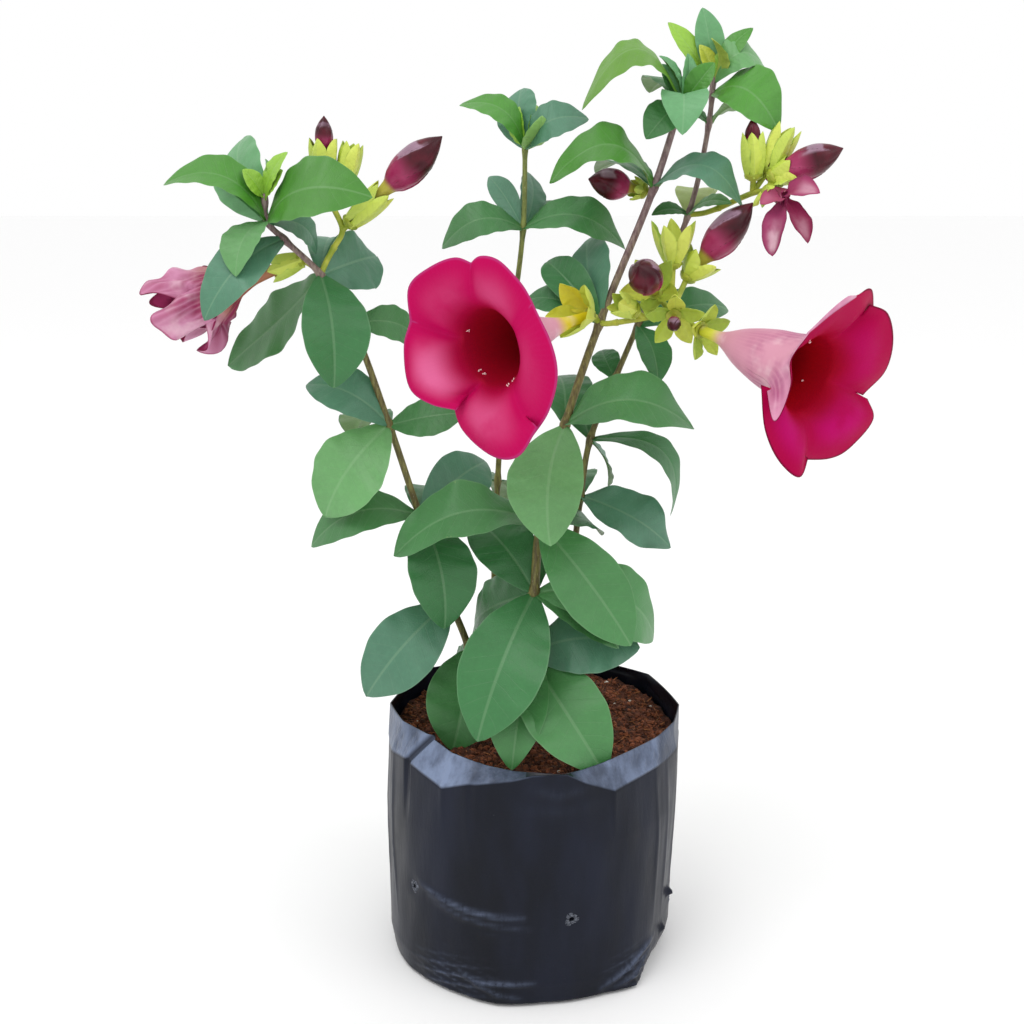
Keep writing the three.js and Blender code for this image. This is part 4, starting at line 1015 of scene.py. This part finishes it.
leaf_blank = blank_blade(*LEAF_GRID)
leather = leaf_skin("leaf_skin", .42, LEAF_SIZES["Veins"], "7e9a55", .55)
chance = np.random.default_rng(7)
for name, stem in STEMS.items():
    leaves = []
    rows = [(root, *row) for root, whorl in stem["whorls"] for row in whorl]
    for root, reach, wide, arch, roll, tone, *bends in rows:
        fold, wave = (*bends, 0, 0)[:2]
        shade = np.array(colour(LEAF_COLOURS[tone])) * chance.uniform(.9, 1.1)
        leaves.append((root, reach, wide, arch, roll, fold, wave, LEAF_CUP, shade, chance.uniform()))
    arch, roll, fold, wave, cup = TIP_LEAF
    root, tip = stem["tip"]
    for reach, wide, tone in tip:
        shade = colour(LEAF_COLOURS[tone])
        leaves.append((root, reach, wide, arch, roll, fold, wave, cup, shade, chance.uniform()))
    # Each leaf starts just off the middle of its stem
    blade_rows = [(np.array(root) + unit(reach) * LEAF_LIFT, np.array(reach) - unit(reach) * LEAF_LIFT, wide,
                   arch, leaf_face(reach, roll), math.tan(math.radians(fold)), *rest)
                  for root, reach, wide, arch, roll, fold, *rest in leaves]
    sprout(f"leaves_{name}", f"leafy_stem_{name}", leaf_blank, blade_rows, leather, LEAF_SIZES)

# Calyces and flower stalks
# Each flower sits in a small green cup with five leafy lobes, yellow-green and cupped. The cups of
# a cluster share short round stalks, which spring from the stem beside a leaf.
CALYX_RADIUS = .004
CUP_STEPS = (-.0026, -.0015, 0, .001)
CUP_RADII = (.55, .85, 1, 1.02)
STALK_RADIUS = .0015
STALK_SWELLING = .25
STALK_REACH = .002
STALK_STEPS = 8
LOBE_GRID = (26, 10)
LOBE_SIZES = {"Thickness": .0005, "Stalk": .0012, "Fullness": .72, "Point": .2, "Veins": 7.0,
              "Quilting": .0001, "Rib": .0002, "Droop": .04}
LOBE_COLOURS = ("bad04c", "ced958", "a6c248")
GOLDEN_LOBES = ("d2d848", "c8da50", "dcd83c")
LOBE_FOLD = .1
LOBE_WAVE = .0003
LOBE_SET_BACK = .0015
# Lobes that spread less than this many degrees are closed ones. Then arch and hollow of a lobe, and
# the width of a closed one
CLOSED_SPREAD = 25
OPEN_SHAPE = (-.08, .5)
CLOSED_SHAPE = (-.09, .6)
CLOSED_WIDTH = .0098
# Each cluster: its stalks, then its calyces by place, axis, length, spread and turn of the lobes
CLUSTERS = {
    "calyx_front_bloom": ([], [
        ((.028, -.01, .3575), (-.08, -.0736, .035), .023, 34, -16)]),
    "calyx_wilted_bloom": ([], [
        ((-.121, -.008, .386), (-.065, .004, -.022), .019, 8, 0)]),
    "calyces_right": ([[(.043, -.009, .354), (.057, -.014, .357), (.07, -.014, .36)],
     [(.07, -.014, .36), (.085, -.016, .351)], [(.07, -.014, .36), (.071, -.008, .384)],
     [(.07, -.014, .36), (.079, -.005, .377)], [(.07, -.014, .36), (.062, -.013, .369)],
     [(.057, -.014, .357), (.051, -.017, .361)]], [
        ((.085, -.016, .351), (.054, -.056, -.016), .017, 58, 20),
         ((.071, -.008, .384), (0, -.002, .02), .025, 20, 20),
         ((.079, -.005, .377), (.032, -.003, .038), .018, 28, 0),
         ((.0615, -.014, .37), (-.011, -.03, .016), .02, 48, 54),
         ((.071, -.019, .359), (-.001, -.012, -.006), .017, 62, 18),
         ((.051, -.017, .361), (-.013, -.005, .006), .015, 10, 0)]),
    "calyces_upper_left": ([
     [(-.103, -.01, .393), (-.099, -.008, .401), (-.104, -.007, .414), (-.108, -.006, .427)],
     [(-.099, -.008, .401), (-.095, -.0085, .405)], [(-.104, -.007, .414), (-.097, -.005, .426)]], [
        ((-.095, -.0085, .405), (.048, -.0065, .043), .027, 4, 0),
         ((-.108, -.006, .427), (.001, 0, .031), .022, 9, 18),
         ((-.097, -.005, .426), (.005, .002, .023), .021, 4, 54)]),
    "calyces_upper_right": ([[(.098, .02, .411), (.113, .008, .419), (.12, 0, .421)],
     [(.113, .008, .419), (.113, .006, .428)], [(.113, .008, .419), (.121, .008, .431)],
     [(.12, 0, .421), (.122, .002, .427)]], [
        ((.12, 0, .421), (.014, -.01, -.02), .012, 64, 10),
         ((.113, .006, .428), (-.002, -.002, .029), .024, 3, 18),
         ((.121, .008, .431), (.011, 0, .026), .026, 7, 54),
         ((.122, .002, .427), (.035, -.004, .016), .014, 20, 0)]),
    "calyx_back_bud": ([[(.061, .016, .42), (.0605, .02, .4195), (.058, .021, .4198)]], [
        ((.057, .021, .42), (-.029, -.005, .006), .009, 26, 0)]),
}


def flower_frame(axis):
    """Out of a flower's mouth, to the right as it is looked into, and up."""
    out = unit(axis)
    right = unit(np.cross(UP, out))
    return out, right, np.cross(out, right)


def around(right, top, degrees):
    """Directions away from a flower's axis."""
    turned = np.radians(degrees)[..., None]
    return right * np.cos(turned) + top * np.sin(turned)


def calyx_parts(at, axis, long, spread, turn, tones, shade):
    """The cup's line with its radii, and the rows of its lobes."""
    out, right, top = flower_frame(axis)
    at = np.array(at)
    cup = ([at + out * step for step in CUP_STEPS], CALYX_RADIUS * np.array(CUP_RADII))
    lean = math.radians(spread)
    clear = max(.85 * CALYX_RADIUS - .0023 * math.tan(lean), .001)
    closed = spread < CLOSED_SPREAD
    wide = CLOSED_WIDTH if closed else 1.12 * min(.54 * long, 1.5 * (clear + .5 * long * math.sin(lean)))
    arch, hollow = CLOSED_SHAPE if closed else OPEN_SHAPE
    lobes = []
    for lobe in range(5):
        away = around(right, top, 72 * lobe + turn)
        reach = (out * math.cos(lean) + away * math.sin(lean)) * long
        along = unit(reach)
        face = unit(out - along * (out @ along))
        tone = colour(tones[(lobe + shade) % 3])
        lobes.append((at + away * clear - out * LOBE_SET_BACK, reach, wide, arch, face, LOBE_FOLD, LOBE_WAVE,
                      hollow, tone, .2 * lobe))
    return cup, lobes


lobe_skin = leaf_skin("calyx_skin", .5, LOBE_SIZES["Veins"], "d2e060", .25)
stalk_skin, tree, shader = new_material("stalk_skin", .5)
blotches = noise(tree, 160, 3).rise(.3, .7)
paint(shader, blend(blotches, "8fa02c", "b9bd45"), noise(tree, 1300, 3), .0002)

lobe_blank = blank_blade(*LOBE_GRID)
clusters = dict(CLUSTERS)
for name, stem in STEMS.items():
    clusters[f"stem_{name}_stalks"] = (stem["stalks"], [])
for number, (name, (stalks, calyces)) in enumerate(clusters.items()):
    lines = [smooth_line(stalk, STALK_STEPS) for stalk in stalks]
    lines = [(line, np.full(len(line), STALK_RADIUS)) for line in lines]
    lobes = []
    tones = GOLDEN_LOBES if name == "calyx_front_bloom" else LOBE_COLOURS
    for shade, calyx in enumerate(calyces):
        cup, rows = calyx_parts(*calyx, tones, shade + number)
        lines.append(cup)
        lobes += rows
    if not lines:
        continue
    stalk_ends = [stalk[-1] for stalk in stalks] or [(0, 0, -1)]
    stand = grow_rods(f"{name}_cups" if lobes else name, lines, stalk_ends, STALK_SWELLING, STALK_REACH,
                      stalk_skin)
    if lobes:
        finish_piece(stand, name)
        sprout(f"{name}_lobes", name, lobe_blank, lobes, lobe_skin, LOBE_SIZES)
    else:
        finish_piece(stand)

# Open flowers
# Five petals grown together into a narrow tube and a wide bell, magenta inside and pale pink
# outside. Past the throat they part into broad lobes that roll back, and each overlaps the next.
SEAT_GAP = .00135
PETAL_FILM = .00045
SEAM = .00002
TUBE_STEPS = 9
LOBE_STEPS = 7
LOBE_ROWS = 30
PETAL_UNREST = (.0007, .0004)

# A tube's shares of the flower's length, each with its radius. The last one is the throat.
OPEN_TUBE = [(0, .0024), (.16, .0034), (.34, .0098), (.55, .0148), (.7, .0168), (.84, .0196)]
SLIM_TUBE = [(0, .0024), (.2, .0032), (.4, .0068), (.58, .0125), (.72, .0165), (.84, .0196)]

# Each lobe's edge, from one side to the other: angle, radius and how far before the mouth it is
FRONT_RIMS = [
    [(36, .045, -.0055), (51, .0481, -.004), (65, .051, -.002), (76, .0496, 0), (85, .0443, -.0005)],
    [(85, .0443, -.0005), (98, .0466, .001), (116, .046, .003), (138, .0466, .004), (160, .0402, .003)],
    [(160, .0402, .003), (180, .0439, .005), (206, .0455, .006), (225, .0387, .004), (245, .0329, -.001)],
    [(230, .0368, -.006), (250, .0437, -.003), (277, .0516, -.001), (295, .054, -.002), (317, .0485, -.004)],
    [(303, .0486, -.007), (330, .0484, -.006), (352, .049, -.006), (11, .0475, -.006), (36, .045, -.0055)],
]
RIGHT_RIMS = [
    [(342, .0446, -.003), (357, .0549, -.002), (19, .0518, 0), (42, .0481, 0), (62, .0425, -.003)],
    [(45, .0463, -.005), (72, .0485, .002), (94, .0445, .005), (112, .0415, .004), (129, .034, -.004)],
    [(129, .034, -.004), (155, .0295, -.0065), (177, .0281, -.0027), (207, .0371, -.0038),
     (190, .031, -.0138)],
    [(192, .0261, -.0188), (216, .0388, -.009), (242, .0452, -.0026), (259, .0482, .0011),
     (274, .04, -.0009)],
    [(268, .0439, -.006), (297, .0493, -.001), (311, .0513, .001), (332, .0539, 0), (341, .0449, -.004)],
]


def flower_seat(base, tip):
    """Where a flower starts, just clear of its cup, how long it is and which way it looks."""
    axis = np.array(tip) - np.array(base)
    out, right, top = flower_frame(axis)
    return np.array(base) + out * SEAT_GAP, np.linalg.norm(axis) - SEAT_GAP, out, right, top


def petal_sheet(tube, rims, base, mouth, turn, swell, roll, lift, puffs, gloss, joined, valleys,
                slits=(0, 0, 0, 0, 0), curls=(0, 0, 0, 0, 0), crumple=None, droop=0):
    """Points, faces and marks of one corolla. Each lobe leaves the throat as the bell does, swells,
    and rolls back to its edge. Its one side is lifted over the next lobe, past where they join."""
    start, length, out, right, top = flower_seat(base, mouth)
    profile = smooth_line(tube, TUBE_STEPS)
    across = np.linspace(-1, 1, 4 * LOBE_STEPS + 1)
    level = np.linspace(0, 1, LOBE_ROWS + 1)[1:, None]
    part = level[..., None]
    bells, limbs = [], []
    for lobe, rim in enumerate(rims):
        degrees = turn + 72 * lobe + 36 * across
        angle = np.radians(degrees)
        away = around(right, top, degrees)
        slit = slits[lobe] * (.5 + .5 * across) * np.clip(profile[:, :1] - .5, 0, 1) / .36
        own = profile[:, :1] - slit
        wide = np.interp(own, profile[:, 0], profile[:, 1])
        bell = start + out * (own * length)[..., None] + away * wide[..., None]
        corners = [start + out * (length + forward) + around(right, top, at) * radius
                   for at, radius, forward in rim]
        throat, edge = bell[-1], smooth_line(corners, LOBE_STEPS)
        span = np.linalg.norm(edge - throat, axis=1)[:, None]
        first = throat + (out + away * .5) * span * swell
        curl = curls[lobe] * np.clip((across + .4) / .6, 0, 1)[:, None]
        arrival = (edge - throat) / span * (1 - 2.6 * curl) - out * (roll - 1.3 * curl)
        last = edge - arrival * span * .35
        limb = (throat * (1 - part) ** 3 + first * 3 * part * (1 - part) ** 2
                + last * 3 * part ** 2 * (1 - part) + edge * part ** 3)
        unrest = PETAL_UNREST[0] * np.sin(3 * angle + 5 * level + lobe)
        unrest = unrest + PETAL_UNREST[1] * np.sin(9 * angle - 7 * level)
        raised = lift * across * level ** .8 + puffs[lobe] * (1 - across ** 2) * np.sin(np.pi * level)
        limbs.append(limb + out * (raised + unrest * level)[..., None])
        bells.append((bell, angle, away))
    shared = []
    for lobe in range(5):
        sides = (limbs[lobe][:, -1], limbs[(lobe + 1) % 5][:, 0])
        meeting = (sides[0] + sides[1]) / 2
        meeting = meeting - out * valleys[lobe] * np.clip(np.sin(np.pi * level), 0, 1) ** .7
        hold = np.clip((joined[lobe] - level) / .2, 0, 1)
        shared.append([(meeting - side) * hold for side in sides])
    points, faces, marks = [], [], {"part": [], "across": [], "gloss": []}
    along = np.r_[.5 * profile[:, 0] / tube[-1][0], .5 + .5 * level[:, 0]]
    near_end, near_start = ((np.clip(side * across, 0, 1) ** 3)[None, :, None] for side in (1, -1))
    numbers = np.arange(along.size * across.size).reshape(along.size, across.size)
    for lobe, (bell, angle, away) in enumerate(bells):
        limb = limbs[lobe] + shared[lobe][0][:, None] * near_end + shared[lobe - 1][1][:, None] * near_start
        sheet = np.concatenate([bell, limb]) - UP * (droop * along ** 2)[:, None, None]
        if crumple:
            sheet = sheet + crumple(along[:, None], angle, away, out)
        points.append(sheet.reshape(-1, 3))
        marks["part"].append(np.repeat(along, across.size))
        marks["across"].append(np.tile(np.abs(across), along.size))
        marks["gloss"].append(np.full(numbers.size, gloss[lobe]))
        grid = numbers + lobe * numbers.size
        corners = np.stack([grid[:-1, :-1], grid[1:, :-1], grid[1:, 1:], grid[:-1, 1:]], axis=-1)
        faces += corners.reshape(-1, 4).tolist()
    return np.concatenate(points), faces, {kind: np.concatenate(rows) for kind, rows in marks.items()}


def make_corolla(name, slot, materials, **shape):
    """One corolla, as thick as a petal, with its inner and its outer material."""
    points, faces, marks = petal_sheet(**shape)
    corolla = new_piece(name, points, faces)
    mark_points(corolla, marks)
    weld = corolla.modifiers.new("grown_together", "WELD")
    weld.merge_threshold = SEAM
    skin = corolla.modifiers.new("petal_film", "SOLIDIFY")
    skin.thickness = PETAL_FILM
    skin.offset = 0
    skin.use_even_offset = False
    skin.material_offset = 1
    for material in materials:
        corolla.data.materials.append(material)
    mesh = plain_mesh(corolla)
    corolla.modifiers.clear()
    corolla.data = mesh
    finish_piece(corolla, name.replace("flower_", "bloom_"))
    return corolla


def petal_inside(name, throat, wall, body, pale, rim):
    """The velvety face of a petal: dark in the throat, and paler in the middle of each lobe by a painted
    sheen.
    """
    material, tree, shader = new_material(name, .55, .04)
    part, across, gloss = (attribute(tree, kind) for kind in ("part", "across", "gloss"))
    cloud = noise(tree, 45, 3)
    depth = part + (cloud - .5) * .08
    tint = blend(depth.rise(.42, .72), blend(depth.rise(.24, .44), throat, wall), body)
    # Painted sheen: the middle of each lobe is painted paler, as strongly as the lobe's share says
    middle = (1 - (across * 1.15).least(1) ** 2) * part.rise(.54, .72) * (1 - part.rise(.74, .96))
    tint = blend(middle * gloss * cloud.rise(.1, .6), tint, pale)
    veins = (across * 11 * math.pi).sine().size() ** 5 * part.rise(.5, .7)
    edge = part.rise(.975, .992).most(across.rise(.975, .995) * part.rise(.92, .97))
    tint = blend(edge * .65, blend(veins * .03, tint, rim), rim)
    paint(shader, tint, noise(tree, 1100, 3), .0001)
    return material


def petal_outside(name, neck, tube_colour, streak, lobe_colour, streaking=.55, neck_end=.06):
    """The back of a petal: a yellow-green neck, and mauve streaks that run along the bell."""
    material, tree, shader = new_material(name, .5, .3)
    part, across = attribute(tree, "part"), attribute(tree, "across")
    cloud = noise(tree, 60, 3)
    tint = blend((part + cloud * .03).rise(neck_end, neck_end + .09), neck, tube_colour)
    tint = blend(part.rise(.45, .7), tint, lobe_colour)
    # Painted highlight: pale cream patches on the back of the petal
    tint = blend(noise(tree, 75, 3).rise(.5, .7) * .4, tint, "f0d8dc")
    lines = ((across * 4 + cloud * .8) * math.pi).sine().size() * .5 + .5
    patches = noise(tree, 42, 4).rise(.44 - .12 * streaking, .7 - .12 * streaking)
    streaks = lines * part.rise(.14, .42) * (1 - part.rise(.72, 1) * .5) * patches
    tint = blend(part.rise(.985, .995) * .6, blend(streaks * streaking, tint, streak), streak)
    paint(shader, tint, noise(tree, 1100, 3), .0001)
    return material


deep_magenta = petal_inside("petal_inside_deep", "74040a", "a20616", "a60342", "b80c6a", "5a0626")
magenta = petal_inside("petal_inside", "86080e", "980a20", "ba0a54", "e070a0", "b23c7c")
pale_pink = petal_outside("petal_outside", "d3d545", "d697ac", "a84c7c", "dc9cb8", .8)
golden_pink = petal_outside("petal_outside_front", "e0cc24", "d697ac", "a84c7c", "dc9cb8", .8, .14)
bloom_front = make_corolla(
    "flower_front", "petal", (magenta, golden_pink), tube=SLIM_TUBE, rims=FRONT_RIMS,
    base=(.028, -.01, .3575), mouth=(-.031, -.074, .347), turn=63, swell=.34, roll=.4,
    lift=.0014, puffs=[.001, .001, .004, .003, .001], gloss=[.3, .2, .8, .45, .12],
    joined=[1.2, 1.2, .8, .9, 1.2], valleys=[.0008, .0045, .004, .002, 0])
bloom_right = make_corolla(
    "flower_right", "petal", (deep_magenta, pale_pink), tube=OPEN_TUBE, rims=RIGHT_RIMS,
    base=(.085, -.016, .351), mouth=(.141, -.073, .333), turn=20, swell=.34, roll=.3,
    lift=.0014, puffs=[.001, .002, 0, .001, .003], gloss=[.4, .02, 0, .8, 1],
    joined=[.95, 1.2, -1, 1.1, .9], valleys=[.002, 0, 0, .0005, .002],
    slits=(0, 0, .17, 0, 0), curls=(0, 1, 0, 0, 0))

# Pollen
# A few pale clumps of shed pollen that cling to the petals round the throats of the open flowers.
# Each clump is a handful of round grains, half sunk into each other.
POLLEN_GRAIN = .00042
GRAINS_A_CLUMP = 5
POLLEN_CLUMPS = {
    "front": (bloom_front, [
        (-.0337, -.0509, .3555), (-.0283, -.0522, .3353), (-.0259, -.0529, .3339),
        (-.0115, -.072, .3336), (-.0135, -.0713, .3315)]),
    "right": (bloom_right, [(.1292, -.0795, .354), (.1332, -.0451, .3296)]),
}
pollen_skin, tree, shader = new_material("pollen", .8)
paint(shader, blend(noise(tree, 2000, 2), "e8a8b4", "fff0ea"))
chance = np.random.default_rng(12)
bpy.context.view_layer.update()
for name, (bloom, clumps) in POLLEN_CLUMPS.items():
    clustered = bmesh.new()
    for clump in clumps:
        place, normal = bloom.closest_point_on_mesh(Vector(clump))[1:3]
        for grain in range(GRAINS_A_CLUMP):
            spot = place + Vector(chance.normal(0, 1, 3)) * POLLEN_GRAIN * 1.1 + normal * POLLEN_GRAIN * .4
            spot = Matrix.Translation(spot)
            bmesh.ops.create_icosphere(clustered, subdivisions=1, radius=POLLEN_GRAIN, matrix=spot)
    pollen = new_piece(f"pollen_{name}", [], [])
    clustered.to_mesh(pollen.data)
    clustered.free()
    finish_piece(pollen, f"bloom_{name}", pollen_skin)

# Fading flowers
# One old corolla has gone limp and crumpled on its browned tube. Of another only a short collar and
# five limp petals are left, which hang out of its calyx. Both have paled to dull pink.
WILTED_TUBE = [(0, .0024), (.25, .003), (.4, .0042), (.5, .0068), (.58, .011)]
# Each wilted petal's angle, reach and how far before the mouth it ends, then its edge as shifts of
# these: degrees, share of the reach, further forwards
WILTED_PETALS = [
    (66, .021, .003), (138, .017, .006), (210, .018, .002), (282, .023, -.013), (354, .02, .001)]
WILTED_EDGE = [(-44, .72, -.01), (-22, 1, -.002), (0, .88, .005), (20, 1.06, -.001), (42, .7, -.009)]
WILTED_RIMS = [[(middle + aside, share * reach, before + further) for aside, share, further in WILTED_EDGE]
               for middle, reach, before in WILTED_PETALS]
FADING_TUBE = [(0, .0024), (.3, .0034), (.6, .004)]
FADING_RIMS = [[(106 + 72 * lobe + turned, .005, -.0005) for turned in (-36, -18, 0, 18, 36)]
               for lobe in range(5)]
FADING_MOUTH = (.128, -.005, .417)
# Each limp petal: root, reach, width, arch, roll towards the front, colour, paleness
FADING_PETALS = [
    (FADING_MOUTH, (-.0075, -.011, -.028), .0125, .14, 0, "9c3c66", .9),
    (FADING_MOUTH, (.0093, -.017, -.021), .0115, .1, 10, "821e46", .3),
    ((.128, -.005, .418), (.0145, -.015, .003), .0125, .2, 50, "a03c66", .45),
    ((.124, .01, .423), (-.004, .003, .019), .011, .1, 70, "a83062", .1),
    (FADING_MOUTH, (-.014, -.01, -.002), .0095, .1, 40, "a84a6c", .12),
]
CRUMPLE = (.0017, .0018)
LIMP_SIZES = {**LOBE_SIZES, "Fullness": .6, "Point": .35, "Quilting": .0, "Veins": 5.0}


def crumple(along, angle, away, out):
    """Folds of a limp petal."""
    limp = np.clip((along - .3) / .4, 0, 1)
    waves = np.sin(5 * angle + 9 * along) + .7 * np.sin(11 * angle - 19 * along)
    sideways, forwards = CRUMPLE[0] * waves * limp, CRUMPLE[1] * np.cos(8 * angle + 11 * along) * limp
    return away * sideways[..., None] + out * forwards[..., None]


limp = petal_inside("limp_petal_inside", "5c0f28", "741436", "8e2a54", "c0709a", "5c0f28")
limp_back = petal_outside("limp_petal_outside", "c9a050", "b67c58", "962a58", "d290b2", 1.0)
faded = petal_inside("faded_petal_inside", "5a0c24", "761434", "a03060", "e2a4be", "4a0a20")
faded_back = petal_outside("faded_petal_outside", "a9a04a", "a8456b", "6b1230", "b04470", .9)
make_corolla(
    "flower_wilted", "faded_petal", (limp, limp_back), tube=WILTED_TUBE, rims=WILTED_RIMS,
    base=(-.121, -.008, .386), mouth=(-.189, -.005, .362), turn=66, swell=.55, roll=-.2,
    lift=.004, puffs=[0] * 5, gloss=[.3] * 5, joined=[.2] * 5, valleys=[.001] * 5,
    crumple=crumple, droop=.006)
make_corolla(
    "flower_fading", "faded_petal", (faded, faded_back), tube=FADING_TUBE, rims=FADING_RIMS,
    base=(.12, 0, .421), mouth=FADING_MOUTH, turn=70, swell=.3, roll=.2,
    lift=.0005, puffs=[0] * 5, gloss=[.9] * 5, joined=[.8] * 5, valleys=[0] * 5)

limp_skin, tree, shader = new_material("limp_skin", .5, .2)
along, margin = attribute(tree, "along"), attribute(tree, "across").size()
tone = attribute(tree, "tone", "Color")
centre = along.rise(.35, .75) * (1 - along.rise(.86, 1)) * (1 - margin.rise(.2, .85))
centre = centre * attribute(tree, "seed") * noise(tree, 110, 3).rise(.2, .6)
tint = blend(margin.rise(.75, 1) * .6, blend(centre * .8, tone, "eccad6"), tone * .55)
paint(shader, tint, noise(tree, 700, 3), .0002)
hanging = [(root, reach, wide, arch, leaf_face(reach, roll), .1, .0006, .3, colour(tone), paleness)
           for root, reach, wide, arch, roll, tone, paleness in FADING_PETALS]
sprout("flower_fading_petals", "bloom_fading", lobe_blank, hanging, limp_skin, LIMP_SIZES)
bpy.data.objects.remove(leaf_blank)
bpy.data.objects.remove(lobe_blank)

# Buds
# Closed flowers: a slim tube that swells into a spindle of five petals rolled over each other,
# whose edges wind round it to a sharp point. Dark maroon, smooth and a little glossy.
BUD_NECK = .28
BUD_SPINDLE = [(0, .42), (.16, .8), (.36, 1), (.58, .95), (.8, .6), (1, .03)]
BUD_TWIST = 100
BUD_EDGE = .1
BUD_SIDES = 70
BUD_ROWS = 52
# Base, tip, width, and the share of its length that is the slim neck
BUDS = {
    "bud_left_long": ((-.095, -.0085, .405), (-.047, -.015, .448), .0175, .4),
    "bud_left_small": ((-.108, -.006, .427), (-.107, -.006, .458), .009, .4),
    "bud_right_long": ((.079, -.005, .377), (.111, -.008, .415), .0175, .24),
    "bud_right_end_on": ((.0615, -.014, .37), (.0505, -.044, .386), .017, .25),
    "bud_right_small": ((.071, -.019, .359), (.07, -.031, .353), .007, .2),
    "bud_top_long": ((.122, .002, .427), (.157, -.002, .442), .0165, .12),
    "bud_top_small": ((.113, .006, .428), (.111, .004, .457), .008, .4),
    "bud_behind_stem": ((.057, .021, .42), (.028, .016, .426), .016, .2),
}

bud_skin, tree, shader = new_material("bud_skin", .32, .3)
part, step = attribute(tree, "part"), attribute(tree, "step")
facing = add_node(tree, "ShaderNodeNewGeometry", output="Normal")
upward = add_node(tree, "ShaderNodeSeparateXYZ", {0: facing}, "Z")
cloud = noise(tree, 90, 3)
patches = cloud.rise(.3, .75)
rosy, maroon = blend(patches, "8e1c4a", "a83a66"), blend(patches, "33040f", "5c0c22")
tint = blend((part + (cloud - .5) * .3).rise(.25, .55), rosy, maroon)
level = part + (cloud - .5) * .5
# Painted sheen: the upper side of the swelling is painted pale lilac, as if it reflected the sky
upper_sheen = upward.rise(.35, .6) * level.rise(.36, .42) * (1 - level.rise(.72, .8))
tint = blend(step.rise(0, .07), "33040f", blend(upper_sheen * .6, tint, "b08fa6"))
tint = blend(part.rise(0, .1), "b9b04a", tint)
paint(shader, tint, noise(tree, 900, 3, .5, (1, 1, .4)), .00012)

bud_angles = np.arange(BUD_SIDES) * 360 / BUD_SIDES
parts = np.linspace(0, 1, BUD_ROWS)
for name, (base, tip, wide, neck) in BUDS.items():
    start, length, out, right, top = flower_seat(base, tip)
    spindle = [(neck + (1 - neck) * share, width) for share, width in BUD_SPINDLE]
    profile = smooth_line([(0, BUD_NECK), (neck * .6, BUD_NECK), *spindle], BUD_ROWS)
    away = around(right, top, bud_angles)
    rings, step_marks = [], []
    for at, width in zip(parts, np.interp(parts, profile[:, 0], profile[:, 1])):
        wound = ((bud_angles - BUD_TWIST * at) / 72) % 1
        ridge = 1 + BUD_EDGE * (.5 - wound) * min(1, at * 3)
        rings.append(start + out * at * length + away * (.5 * wide * width * ridge)[:, None])
        step_marks.append(wound)
    bud = new_piece(f"closed_{name}", np.concatenate(rings), drum_faces(BUD_ROWS, BUD_SIDES))
    shares = np.clip((parts - neck) / (1 - neck), 0, 1)
    mark_points(bud, {"part": np.repeat(shares, BUD_SIDES), "step": np.concatenate(step_marks)})
    finish_piece(bud, name, bud_skin)
